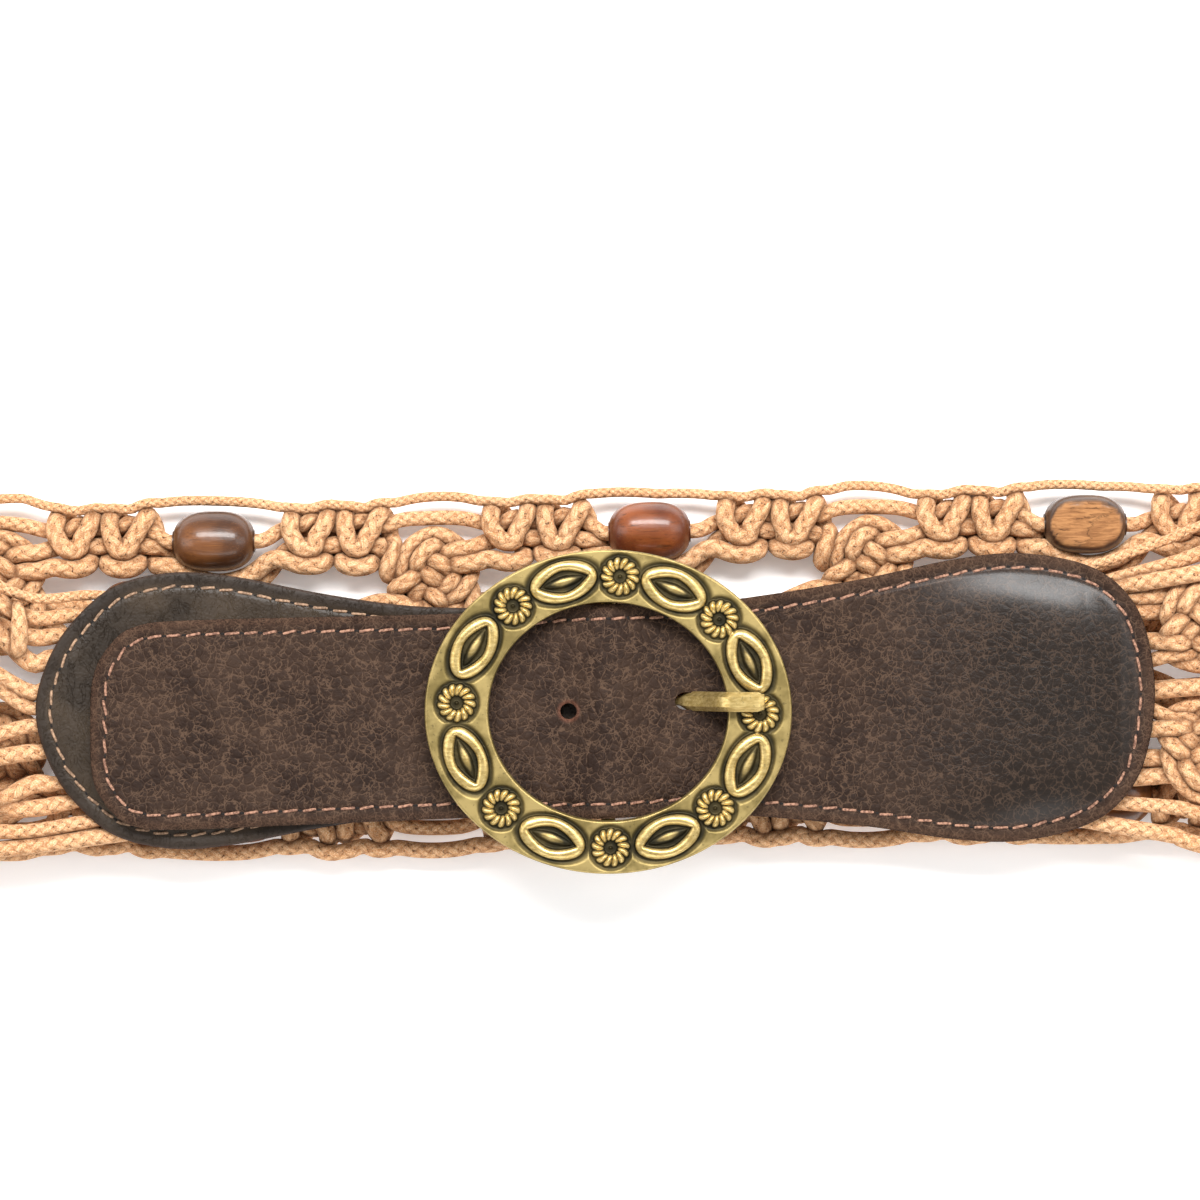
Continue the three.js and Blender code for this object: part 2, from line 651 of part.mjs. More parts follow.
function strap() {
  const shares = [-1, -0.7, -0.5, -0.36, -0.26, -0.2, 0.2, 0.26, 0.36, 0.5, 0.7, 1];
  const hump = shares.map((share) => BAR_X + HUMP_REACH * share);
  const edge = BAR_X + RING_LENGTH / 2;
  const slope = Array.from({ length: 5 }, (_, i) => lerp(edge + GAP, edge + STRAP_DROP, i / 4));
  const stations = [BAR_X - TIP_REACH - 1, ...hump, ...slope, STRAP_END_X - POCKET - 7, STRAP_END_X + 1];
  const pocketRoof = RIGHT_POCKET_Z + POCKET_HEIGHT;
  const under = stations.map((x) => new THREE.Vector2(x, strapUnder(x)));
  const over = stations.slice(0, -1).reverse().map((x) => new THREE.Vector2(x, strapUnder(x) + BODY));
  const end = [
    new THREE.Vector2(STRAP_END_X + 1, pocketRoof + PLY),
    new THREE.Vector2(STRAP_END_X - POCKET, pocketRoof + PLY),
  ];
  const outline = plan(STRAP_EDGE, {
    left: TIP_REACH,
    right: END_REACH,
    narrow: STRAP_WIDTH,
    wide: END_WIDTH,
    slope: STRAP_SKEW,
    points: 48,
  });
  const sheet = slab([...under, ...end, ...over], 3 * REACH, RING_Y);
  const pocket = block(
    new THREE.Vector3(STRAP_END_X - POCKET, RING_Y - REACH, RIGHT_POCKET_Z),
    new THREE.Vector3(STRAP_END_X + REACH, RING_Y + REACH, pocketRoof),
  );
  const spare = plate(
    oval(PRONG_HOLE_X - HOLE_PITCH, RING_Y, 0, HOLE / 2, HOLE / 2, 10),
    0,
    REACH,
  );
  const half = new THREE.Vector2(HOLE + HOLE_STRETCH, PRONG_WIDTH + 2 * GAP).divideScalar(2);
  const prongY = RING_Y + PRONG_SIDE;
  const worn = block(
    new THREE.Vector3(PRONG_HOLE_X - half.x, prongY - half.y, 0),
    new THREE.Vector3(PRONG_HOLE_X + half.x, prongY + half.y, REACH),
  );
  return geometryOf(
    sheet.intersect(plate(outline, 0, REACH)).subtract(pocket).subtract(spare).subtract(worn),
  );
}

// The tab: two layers sewn together, open at the left for the cord ends and folded round the
// bar at the right, with a slot there for the prong

function tab() {
  const drop = TAB_UNDER - TAB_END_DROP;
  const pocketEnd = TAB_END_X + POCKET;
  const roof = LEFT_POCKET_Z + POCKET_HEIGHT;
  const top = TAB_UNDER + BODY;
  const wedge = BAR_X - 2.2 * EYE;
  const lift = Math.atan2(BAR_Z + EYE - top, BAR_X - wedge);
  const outer = [
    new THREE.Vector2(TAB_END_X - 1, drop),
    new THREE.Vector2(pocketEnd, drop),
    new THREE.Vector2(pocketEnd + POCKET_STEP, TAB_UNDER),
    ...arc(BAR_X, BAR_Z, EYE, -Math.PI / 2, Math.PI / 2 + lift, 10),
    new THREE.Vector2(wedge, top),
    new THREE.Vector2(pocketEnd + POCKET_STEP * 1.25, top),
    new THREE.Vector2(pocketEnd + POCKET_STEP / 2, roof + PLY),
    new THREE.Vector2(TAB_END_X - 1, roof + PLY),
  ];
  const eye = [
    ...arc(BAR_X, BAR_Z, BAR / 2 + GAP, -Math.PI / 2, Math.PI / 2 + lift, 8),
    new THREE.Vector2(BAR_X - 1.6 * EYE, TAB_UNDER + PLY),
  ];
  const outline = plan(TAB_EDGE, {
    left: TAB_REACH,
    narrow: NECK_WIDTH,
    wide: TAB_WIDTH,
    points: 36,
    cutAt: 2 * EYE,
  });
  const pocket = block(
    new THREE.Vector3(TAB_END_X - REACH, RING_Y - REACH, LEFT_POCKET_Z),
    new THREE.Vector3(pocketEnd, RING_Y + REACH, roof),
  );
  const slotHalf = PRONG_WIDTH / 2 + GAP;
  const prongY = RING_Y + PRONG_SIDE;
  const slot = block(
    new THREE.Vector3(BAR_X - EYE - GAP, prongY - slotHalf, 0),
    new THREE.Vector3(BAR_X + REACH, prongY + slotHalf, REACH),
  );
  return geometryOf(
    slab(outer, 3 * REACH, RING_Y, [eye])
      .intersect(plate(outline, 0, REACH))
      .subtract(pocket)
      .subtract(slot),
  );
}

// The buckle: an oval ring with a field between two borders, cast ovals and flowers in the
// field, and a bar on two lugs behind it

function ringPoint(angle, share, z) {
  const halfX = lerp(OPENING_LENGTH, RING_LENGTH, share) / 2;
  const halfY = lerp(OPENING_WIDTH, RING_WIDTH, share) / 2;
  return new THREE.Vector3(
    BAR_X + halfX * Math.cos(angle),
    RING_Y + halfY * Math.sin(angle),
    z,
  );
}

const RING_STEPS = 32;
const RING_SECTION = [
  { share: 0, level: RING_Z },
  { share: 0, level: FIELD_Z },
  { share: 0.06, level: RING_TOP },
  { share: 0.13, level: FIELD_Z },
  { share: 0.87, level: FIELD_Z },
  { share: 0.94, level: RING_TOP },
  { share: 1, level: FIELD_Z },
  { share: 1, level: RING_Z },
];

function ringBody() {
  const rings = Array.from({ length: RING_STEPS }, (_, i) => {
    const angle = (i / RING_STEPS) * 2 * Math.PI;
    return RING_SECTION.map(({ share, level }) => ringPoint(angle, share, level));
  });
  return solid(loft(rings, { loop: true }));
}

// An ornament is a low cup: a rim, a sunk floor and a pointed boss
function ornament(angle, length, width, sides) {
  const middle = ringPoint(angle, 0.5, 0);
  const ahead = ringPoint(angle + 0.01, 0.5, 0);
  const turn = Math.atan2(ahead.y - middle.y, ahead.x - middle.x);
  const ring = (share, level) =>
    oval(middle.x, middle.y, level, (share * length) / 2, (share * width) / 2, sides, turn);
  const floor = FIELD_Z + RELIEF * 0.3;
  return solid(
    loft([
      ring(1, FIELD_Z - RECESS),
      ring(1, FIELD_Z + RELIEF * 0.4),
      ring(0.82, ORNAMENT_TOP),
      ring(0.5, floor),
      [new THREE.Vector3(middle.x, middle.y, FIELD_Z + RELIEF * 0.8)],
    ]),
  );
}

function barAndLugs() {
  const half = OPENING_WIDTH / 2;
  const inner = half + GAP * 1.5;
  const shaft = new THREE.CylinderGeometry(BAR / 2, BAR / 2, 2 * inner + LUG, 10);
  shaft.translate(BAR_X, RING_Y, BAR_Z);
  const lugs = [-1, 1].map((side) => {
    const [near, far] = [RING_Y + side * inner, RING_Y + side * (inner + LUG * 0.7)];
    return block(
      new THREE.Vector3(BAR_X - LUG / 2, Math.min(near, far), BAR_Z - BAR / 2 - GAP),
      new THREE.Vector3(BAR_X + LUG / 2, Math.max(near, far), RING_Z + RING_HEIGHT / 2),
    );
  });
  return join([solid(shaft), ...lugs]);
}

function buckleFrame() {
  const parts = [ringBody(), barAndLugs()];
  const pitch = (2 * Math.PI) / ORNAMENTS;
  for (let n = 0; n < ORNAMENTS; n += 1) {
    parts.push(ornament((n + 0.5) * pitch, OVAL_LENGTH, OVAL_WIDTH, 8));
    parts.push(ornament(n * pitch, FLOWER, FLOWER, 8));
  }
  return geometryOf(join(parts));
}

// The prong: a loop round the bar, a shank that climbs through the strap, and an end that
// lies on the ring

function prong() {
  const half = PRONG_HEIGHT / 2;
  const room = half + 2 * GAP;
  const holeHalf = (HOLE + HOLE_STRETCH) / 2;
  const before = PRONG_HOLE_X - holeHalf;
  const after = PRONG_HOLE_X + holeHalf;
  const rest = ORNAMENT_TOP + GAP + half;
  const below = (x) => [x, Math.min(strapUnder(x) - room, BAR_Z)];
  const route = new THREE.CatmullRomCurve3(
    [
      [BAR_X + BAR / 2 + GAP + PLY * 0.7, BAR_Z],
      below(lerp(BAR_X + EYE, before, 0.6)),
      below(before),
      [after, strapUnder(after) + BODY + room],
      [BAR_X + OPENING_LENGTH / 2 - GAP, rest - RELIEF / 4],
      [BAR_X + lerp(OPENING_LENGTH / 2, PRONG_REACH, 0.5), rest],
      [BAR_X + PRONG_REACH, rest],
    ].map(([x, z]) => new THREE.Vector3(x, z, 0)),
    false,
    "centripetal",
  );
  const middles = route.getPoints(16);
  const offset = (side) =>
    middles.map((point, i) => {
      const along = route.getTangent(i / 16);
      return new THREE.Vector2(point.x - along.y * side * half, point.y + along.x * side * half);
    });
  const prongY = RING_Y + PRONG_SIDE;
  const shank = slab([...offset(-1), ...offset(1).reverse()], PRONG_WIDTH, prongY);
  const loop = slab(arc(BAR_X, BAR_Z, EYE, 0, 2 * Math.PI, 14).slice(0, -1), PRONG_WIDTH, prongY, [
    arc(BAR_X, BAR_Z, BAR / 2 + GAP, 0, 2 * Math.PI, 10).slice(0, -1),
  ]);
  return geometryOf(loop.add(shank));
}

// The belt

const PIECES = [
  { name: "macrame_band", make: macrameBand, material: MATERIALS.cord },
  { name: "left_tab", make: tab, material: MATERIALS.smooth },
  { name: "strap", make: strap, material: MATERIALS.suede },
  { name: "buckle_frame", make: buckleFrame, material: MATERIALS.brass },
  { name: "buckle_prong", make: prong, material: MATERIALS.brass },
];

const group = new THREE.Group();
for (const { name, make, material } of PIECES) {
  const mesh = new THREE.Mesh(make(), material);
  mesh.name = name;
  group.add(mesh);
}
group.add(...beads());

// The origin is on the surface, under the middle of the whole belt
const bounds = new THREE.Box3().setFromObject(group);
const middle = bounds.getCenter(new THREE.Vector3());
group.position.set(-middle.x, -middle.y, -bounds.min.z);

export default group;
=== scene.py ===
# %% [markdown]
# # A rope belt
# This lesson dresses a fastened belt that lies flat: a band of knotted cotton cord with
# wooden beads, two leather ends and an oval brass buckle. The plain solids come from the
# frame. Each of them gets a finely made piece that stands where the solid stands.
# Lengths are in millimetres until a mesh is made, and in metres in Blender.

# %% The frame, and the box of its plain solids
import math

import bpy
import numpy as np
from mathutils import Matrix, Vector
from mathutils.kdtree import KDTree


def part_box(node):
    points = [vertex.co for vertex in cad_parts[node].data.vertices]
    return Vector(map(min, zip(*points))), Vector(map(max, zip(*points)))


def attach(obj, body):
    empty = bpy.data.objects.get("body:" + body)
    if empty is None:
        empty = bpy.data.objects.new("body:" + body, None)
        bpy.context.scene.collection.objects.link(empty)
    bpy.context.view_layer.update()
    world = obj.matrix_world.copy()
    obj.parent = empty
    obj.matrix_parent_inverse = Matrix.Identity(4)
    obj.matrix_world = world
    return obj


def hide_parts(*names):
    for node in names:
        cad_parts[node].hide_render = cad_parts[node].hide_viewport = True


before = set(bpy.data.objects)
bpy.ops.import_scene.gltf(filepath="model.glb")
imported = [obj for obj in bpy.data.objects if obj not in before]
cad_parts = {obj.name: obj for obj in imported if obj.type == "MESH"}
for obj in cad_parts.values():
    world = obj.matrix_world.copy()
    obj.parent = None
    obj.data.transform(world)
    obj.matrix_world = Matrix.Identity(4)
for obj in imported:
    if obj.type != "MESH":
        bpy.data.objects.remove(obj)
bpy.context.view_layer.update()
print("solids in the frame:", len(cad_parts))

# %% [markdown]
# ## Sizes that the pieces share with the solids
# The frame gives the places of the solids. The route of the band isn't in it, so its
# sizes are repeated here, and the ring's box says how far the whole belt was moved.

# %% Sizes
MM = 0.001
REPEATS = 7
SINNET = 21.0  # two square knots in a row
BEAD_WINDOW = 29.0
WEAVE_WINDOW = 21.6
LEAD_IN = 19.75
REPEAT = 2 * SINNET + BEAD_WINDOW + WEAVE_WINDOW
REPEAT_START = LEAD_IN + WEAVE_WINDOW
BAND_LENGTH = REPEAT_START + REPEATS * REPEAT
BAND_HALF = 37.5
SINNET_V = 29.6
EDGE_DIP_V = 35.8
BEAD_V = 28.86
INNER_BEAD_V = BEAD_V / 2
WEAVE_V = 18.05
BEAD_AT = SINNET + 0.483 * BEAD_WINDOW
BEAD_SLIDE = 5.5
INNER_BEAD_AT = SINNET - 1.5
CENTRE_AT = BEAD_AT + 3
WEAVE_AT = 2 * SINNET + BEAD_WINDOW + WEAVE_WINDOW / 2
BEAD_LENGTH, BEAD_WIDTH = 17.4, 13.0

PLY = 1.5
POCKET = 7.5
BAR_X, RING_Y = 1.7, -8.6
TAB_REACH, TAB_WIDTH, NECK_WIDTH = 120.4, 58.0, 43.0
TIP_REACH, END_REACH = 108.6, 114.8
STRAP_WIDTH, END_WIDTH, STRAP_SKEW = 43.0, 60.5, 0.033
TAB_UNDER, STRAP_OVER_TAB, STRAP_OVER_BAR = 13.3, 16.6, 20.2
TAB_END_X, STRAP_END_X = BAR_X - TAB_REACH, BAR_X + END_REACH
RING_LENGTH, RING_WIDTH = 76.6, 67.6
OPENING_LENGTH, OPENING_WIDTH = 50.0, 45.6
HOLE_PITCH = 24.6
PRONG_WIDTH, PRONG_HEIGHT, PRONG_REACH, PRONG_SIDE = 3.9, 2.4, 32.5, 2.1
BAR, EYE = 3.0, 3.3

FOLD_RADIUS = 9.5
RISE = 71.0
BACK_Z, FOLD_Z, TOP_Z = 4.2, 13.7, 23.2
LEFT_POCKET_MID, RIGHT_POCKET_MID = 14.28, 16.1
SWAY = 1.9  # the band at the back lies a little askew

ring_low, ring_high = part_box("buckle_frame")
SHIFT = np.array(
    [
        (ring_low.x + ring_high.x) / 2 / MM - BAR_X,
        (ring_low.y + ring_high.y) / 2 / MM - RING_Y,
        0.0,
    ]
)
RING_Z = ring_high.z / MM - 4.2
FIELD_Z = ring_high.z / MM - 1.3
print("the belt was moved by", SHIFT.round(3), "mm; the ring's field is at", round(FIELD_Z, 2))

# %% [markdown]
# ## The camera and the light
# The photograph looks straight down. The belt lies across the picture a little above its
# middle, and both ends run out of it. A long lens keeps the high buckle and the low band
# at nearly the same scale. The light is a large soft source above the belt's upper edge,
# and the white surface is so bright that it shows no edge. A plain sky with an overhead
# card was chosen over a room picture, because the surface is all that surrounds the belt.

# %% The camera
VIEW_WIDTH = 252.0
CAMERA_HEIGHT = 900.0
SEEN_HEIGHT = 18.0  # the level that is drawn at the photograph's scale
SENSOR = 36.0
camera_data = bpy.data.cameras.new("photo_camera")
camera_data.sensor_fit = "HORIZONTAL"
camera_data.sensor_width = SENSOR
camera_data.lens = SENSOR * (CAMERA_HEIGHT - SEEN_HEIGHT) / VIEW_WIDTH
camera_data.clip_start = 0.01
camera_data.clip_end = 20
camera = bpy.data.objects.new("photo_camera", camera_data)
camera.location = (0, 16.7 * MM, CAMERA_HEIGHT * MM)
bpy.context.scene.collection.objects.link(camera)
bpy.context.scene.camera = camera
bpy.context.scene.view_settings.view_transform = "Standard"
print("camera lens:", round(camera_data.lens, 1), "mm")

# %% [markdown]
# ## Shader maths as plain expressions
# A material is a net of nodes. To write it as sums, the class `Value` wraps the socket
# that a number comes out of, and its operators add the Math nodes. `Finish` is one
# material: its method `node` adds any other node, its settings first, then its inputs.


# %% Values
class Value:
    def __init__(self, finish, socket):
        self.finish = finish
        self.socket = socket

    def maths(self, operation, *values):
        inputs = dict(enumerate(values))
        return self.finish.node("Math", {"operation": operation}, inputs).out(0)

    def __add__(self, other):
        return self.maths("ADD", self, other)

    def __sub__(self, other):
        return self.maths("SUBTRACT", self, other)

    def __mul__(self, other):
        return self.maths("MULTIPLY", self, other)

    def __truediv__(self, other):
        return self.maths("DIVIDE", self, other)

    def __pow__(self, other):
        return self.maths("POWER", self, other)

    def __radd__(self, other):
        return self.maths("ADD", other, self)

    def __rsub__(self, other):
        return self.maths("SUBTRACT", other, self)

    def __rmul__(self, other):
        return self.maths("MULTIPLY", other, self)

    def cosine(self):
        return self.maths("COSINE", self)

    def size(self):
        return self.maths("ABSOLUTE", self)

    def larger(self, other):
        return self.maths("MAXIMUM", self, other)

    def step(self, low, high):
        inputs = {0: self, 1: low, 2: high}
        settings = {"interpolation_type": "SMOOTHSTEP"}
        return self.finish.node("MapRange", settings, inputs).out(0)


class Node:
    def __init__(self, finish, node):
        self.finish = finish
        self.node = node

    def out(self, key):
        return Value(self.finish, self.node.outputs[key])


# %% Finishes
class Finish:
    def __init__(self, name):
        self.material = bpy.data.materials.new(name)
        self.material.use_nodes = True
        self.tree = self.material.node_tree
        self.tree.nodes.clear()

    def node(self, kind, settings=None, inputs=None):
        made = self.tree.nodes.new("ShaderNode" + kind)
        for key, value in (settings or {}).items():
            setattr(made, key, value)
        for key, value in (inputs or {}).items():
            if isinstance(value, Value):
                self.tree.links.new(value.socket, made.inputs[key])
            else:
                made.inputs[key].default_value = value
        return Node(self, made)

    def place(self):
        return self.node("TexCoord").out("Object")

    def attribute(self, name, output="Fac"):
        return self.node("Attribute", {"attribute_name": name}).out(output)

    def stretch(self, vector, scale):
        settings = {"operation": "MULTIPLY"}
        return self.node("VectorMath", settings, {0: vector, 1: scale}).out(0)

    def noise(self, vector, scale, detail=2.0, roughness=0.5, distortion=0.0):
        inputs = {
            "Vector": vector,
            "Scale": scale,
            "Detail": detail,
            "Roughness": roughness,
            "Distortion": distortion,
        }
        return self.node("TexNoise", None, inputs).out(0)

    def cells(self, vector, scale, feature="F1"):
        inputs = {"Vector": vector, "Scale": scale}
        return self.node("TexVoronoi", {"feature": feature}, inputs).out("Distance")

    def blend(self, factor, first, second):
        settings = {"data_type": "RGBA"}
        return self.node("Mix", settings, {0: factor, 6: first, 7: second}).out(2)

    def bump(self, height, distance, strength):
        inputs = {"Height": height, "Distance": distance, "Strength": strength}
        return self.node("Bump", None, inputs).out(0)

    def finish(self, **inputs):
        named = {key.replace("_", " "): value for key, value in inputs.items()}
        shader = self.node("BsdfPrincipled", None, named).out(0)
        self.node("OutputMaterial", None, {0: shader})
        return self.material


def colour(red, green, blue):
    """A display colour, 0 to 255, as the linear one that a shader takes."""
    linear = []
    for share in (red / 255, green / 255, blue / 255):
        linear.append(((share + 0.055) / 1.055) ** 2.4 if share > 0.04 else share / 12.92)
    return (*linear, 1.0)


print("a mid grey is", round(colour(128, 128, 128)[0], 3), "in linear light")

# %% [markdown]
# ## Making meshes
# Every piece is built from arrays of points. A helper turns points and faces into an
# object, in metres and moved with the belt, lets it ride on the belt's one body, gives it
# its finish, and hides the solid that it stands for.


# %% Mesh helpers
def make_piece(name, points, faces, material, stands_for=(), smooth=True):
    mesh = bpy.data.meshes.new(name)
    mesh.from_pydata(((points + SHIFT) * MM).tolist(), [], faces)
    mesh.validate()
    mesh.polygons.foreach_set("use_smooth", [smooth] * len(mesh.polygons))
    piece = bpy.data.objects.new(name, mesh)
    bpy.context.scene.collection.objects.link(piece)
    piece.data.materials.append(material)
    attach(piece, "root")
    if stands_for:
        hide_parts(*stands_for)
    print(name, len(mesh.polygons), "faces")
    return piece


def add_numbers(piece, name, values):
    attribute = piece.data.attributes.new(name, "FLOAT", "POINT")
    attribute.data.foreach_set("value", np.asarray(values, np.float32))


def grid_faces(rows, columns, wrap_rows=False, wrap_columns=False, flip=False, start=0):
    r = np.arange(rows if wrap_rows else rows - 1)
    c = np.arange(columns if wrap_columns else columns - 1)
    r, c = [a.ravel() for a in np.meshgrid(r, c, indexing="ij")]
    r2, c2 = (r + 1) % rows, (c + 1) % columns
    corners = [r * columns + c, r * columns + c2, r2 * columns + c2, r2 * columns + c]
    quads = np.stack(corners, 1)
    if flip:
        quads = quads[:, ::-1]
    return (quads + start).tolist()


def ease(value, low, high):
    share = np.clip((np.asarray(value, float) - low) / (high - low), 0, 1)
    return share * share * (3 - 2 * share)


def lerp(first, second, share):
    return first + (second - first) * share


def smooth_route(points, spacing, closed=False):
    """Points along a rounded curve through the given ones, evenly spaced."""
    points = np.asarray(points, float)
    if closed:
        padded = np.concatenate([points[-2:], points, points[:3]])
    else:
        ends = [2 * points[0] - points[1], 2 * points[-1] - points[-2]]
        padded = np.concatenate([[ends[0]], points, [ends[1]]])
    share = np.linspace(0, 1, 12, endpoint=False)[:, None]
    parts = []
    first = 2 if closed else 1
    for i in range(first, first + len(points) - (0 if closed else 1)):
        a, b, c, d = padded[i - 1 : i + 3]
        parts.append(
            0.5
            * (
                2 * b
                + (c - a) * share
                + (2 * a - 5 * b + 4 * c - d) * share**2
                + (3 * b - 3 * c + d - a) * share**3
            )
        )
    fine = np.concatenate(parts + [points[:1] if closed else points[-1:]])
    lengths = np.concatenate([[0], np.cumsum(np.linalg.norm(np.diff(fine, axis=0), axis=1))])
    count = max(2, int(round(lengths[-1] / spacing)) + 1)
    at = np.linspace(0, lengths[-1], count)
    return np.stack([np.interp(at, lengths, fine[:, k]) for k in range(fine.shape[1])], 1)


# %% [markdown]
# ## The loop
# The band starts in the tab, goes left along the top, folds under, comes back along the
# surface, folds up again and ends in the strap. A point of the band is given by s along
# it, v across it, and w from its middle surface into the loop.

# %% The route of the band
FOLD_X = (BAND_LENGTH + STRAP_END_X - TAB_END_X - 2 * math.pi * FOLD_RADIUS) / 4
LEFT_FOLD = FOLD_X + TAB_END_X
BACK_START = LEFT_FOLD + math.pi * FOLD_RADIUS
BACK_END = BACK_START + 2 * FOLD_X
FRONT_START = BACK_END + math.pi * FOLD_RADIUS


def lay(points):
    s, v, w = np.asarray(points, float).T
    left = BAND_LENGTH - s
    first_turn = np.clip((s - LEFT_FOLD) / FOLD_RADIUS, 0, math.pi)
    second_turn = np.clip((s - BACK_END) / FOLD_RADIUS, 0, math.pi)
    turn = first_turn + second_turn
    x = TAB_END_X - np.minimum(s, LEFT_FOLD) + np.clip(s - BACK_START, 0, 2 * FOLD_X)
    x = x - np.maximum(s - FRONT_START, 0)
    z = FOLD_Z + FOLD_RADIUS * np.cos(turn)
    z += (lerp(LEFT_POCKET_MID, TOP_Z, ease(s, 0, RISE)) - TOP_Z) * (s < LEFT_FOLD)
    z += (lerp(RIGHT_POCKET_MID, TOP_Z, ease(left, 0, RISE)) - TOP_Z) * (s > FRONT_START)
    bend = np.where(first_turn < math.pi, -1.0, 1.0) * np.sin(turn) * FOLD_RADIUS
    x = x + np.where((turn > 0) & (turn < math.pi), -np.abs(bend), 0)
    x = x + np.where((turn > math.pi) & (turn < 2 * math.pi), np.abs(bend), 0)
    across = np.sin(turn)
    inward = -np.cos(turn)
    gather = lerp(0.74, 1, ease(s, 0, 42)) * lerp(0.85, 1, ease(left, 0, 26))
    gather = gather * (1 - 0.32 * (1 - (v / 38) ** 2) * (1 - ease(left, 12, 34)))
    shift = lerp(-9, 0, ease(s, 0, 58)) + lerp(-3.4, 0, ease(left, 0, 58))
    at_back = (s > BACK_START) & (s < BACK_END)
    shift = shift + np.where(at_back, SWAY * np.sin(x / FOLD_X * math.pi), 0)
    return np.stack([x + w * across, v * gather + shift, z + w * inward], 1)


def bead_lift(s):
    at_back = (s > BACK_START) & (s < BACK_END)
    return np.where(at_back, BEAD_WIDTH / 2 - BACK_Z, 0.0)


print("the band is", round(BAND_LENGTH, 1), "mm long and folds at", round(FOLD_X, 1))

# %% [markdown]
# ## The cords of one repeat
# Twelve cords run through the band: a thin one along the upper edge, a thick one along
# the lower edge, and ten working cords. One repeat has four kinds of work in it. In a
# row of square knots, a working cord crosses over two core cords as a V and shows a
# level bar at the inner side. In the window a bead sits on a core cord while two others
# dip under it. In the middle four cords make one square knot. And where the window is
# long, two pairs of cords make a flat woven knot, the round mat that sailors tie. Each
# cord is written as a few points of its middle line. Tying the knots by simulation would
# give the same picture with far less control, so the routes are drawn one by one.

# %% The square knots
KNOT_PITCH = 10.3


def knot_over_core(start, middle, outer, side, pitch=KNOT_PITCH):
    """The working cord of one square knot. side says where its level bar lies."""
    k = pitch / 10.3
    table = [
        (0.9, 4.6, 2.0),
        (3.0, 4.9, 2.4),
        (5.2, 5.0, 2.6),
        (7.6, 4.9, 2.4),
        (9.9, 4.1, 0.8),
        (9.4, 1.5, -2.2),
        (4.4, -1.6, -2.4),
        (1.9, -outer + 0.3, -1.4),
        (1.3, -outer - 0.5, 0.8),
        (1.6, -outer + 1.5, 2.4),
        (2.3, -1.0, 2.6),
        (3.3, 1.9, 2.2),
        (4.4, 3.0, 0.6),
        (6.2, 3.0, 0.6),
        (7.3, 1.9, 2.2),
        (8.3, -1.0, 2.6),
        (9.0, -outer + 1.5, 2.4),
        (9.3, -outer - 0.5, 0.8),
        (9.7, -outer + 0.5, -1.4),
        (10.3, 0.8, -2.2),
        (10.8, 3.8, -0.4),
    ]
    return [(start + k * a, middle + side * b, c) for a, b, c in table]


def sinnet(start):
    """Points of the four upper cords through two square knots."""
    wiggle = [(0.3, 0.0), (2.0, -0.5), (5.2, 0.5), (8.6, -0.5)]
    thin = [
        (start + n * KNOT_PITCH + a, EDGE_DIP_V - 0.3 + b, 1.6)
        for n in range(2)
        for a, b in wiggle
    ]
    upper = [(start + 1.5, SINNET_V + 1.7, 0.2), (start + SINNET - 1.5, SINNET_V + 1.7, 0.2)]
    lower = [(start + 1.5, SINNET_V - 1.6, 0.0), (start + SINNET - 1.5, SINNET_V - 1.6, 0.0)]
    worker = [
        point
        for n in range(2)
        for point in knot_over_core(start + 0.2 + n * KNOT_PITCH, SINNET_V, 5.6, -1)
    ]
    return thin, upper, lower, worker


print("points in one row of square knots:", sum(len(cord) for cord in sinnet(0)))

# %% The flat woven knot
MAT_LENGTH, MAT_WIDTH = 9.3, 8.3  # reach of the middle line from the knot's middle
MAT_IN = 0.36  # how far it swings in, as a share
MAT_CUT = 0.36  # where the ends leave the round, in radians


def mat_strand(centre, first, last):
    """The pair of cords between two angles of the round mat, over and under by turns."""
    angles = np.linspace(first, last, 60)
    reach = (1 - MAT_IN) + MAT_IN * np.cos(4 * angles / 3)
    flat = np.stack(
        [MAT_LENGTH * reach * np.cos(angles), MAT_WIDTH * reach * np.sin(angles)], 1
    )
    crossings = []
    for n in range(-4, 13):
        crossings += [-math.pi + 0.75 * math.pi * n, math.pi + 0.75 * math.pi * n]
    crossings = sorted({round(a, 6) for a in crossings})
    crossings = [a for a in crossings if -1 < a < 6 * math.pi + 1]
    lowest = min(range(len(crossings)), key=lambda i: abs(crossings[i] - math.pi / 4))
    ups = [1 if (i - lowest) % 2 == 0 else -1 for i in range(len(crossings))]
    height = 1.9 * np.interp(angles, crossings, ups)
    along = np.gradient(flat, axis=0)
    along /= np.linalg.norm(along, axis=1)[:, None]
    across = np.stack([-along[:, 1], along[:, 0]], 1)
    pair = []
    for side in (1, -1):
        line = flat + across * side * 1.5
        points = np.column_stack([centre[0] + line[:, 0], centre[1] + line[:, 1], height])
        pair.append([tuple(point) for point in points[::3]])
    return pair


def woven_knot(centre):
    """Both pairs: the first comes from the edge and the second from the middle."""
    turn = 3 * math.pi
    edge_pair = mat_strand(centre, turn - MAT_CUT, MAT_CUT)
    middle_pair = mat_strand(centre, turn + MAT_CUT, 2 * turn - MAT_CUT)
    return edge_pair, middle_pair


print("points of the woven knot:", sum(len(c) for pair in woven_knot((0, 0)) for c in pair))

# %% The twelve cords
CORD_RADIUS = 1.6
DIP_V = BEAD_V - BEAD_WIDTH / 2 - 2.6


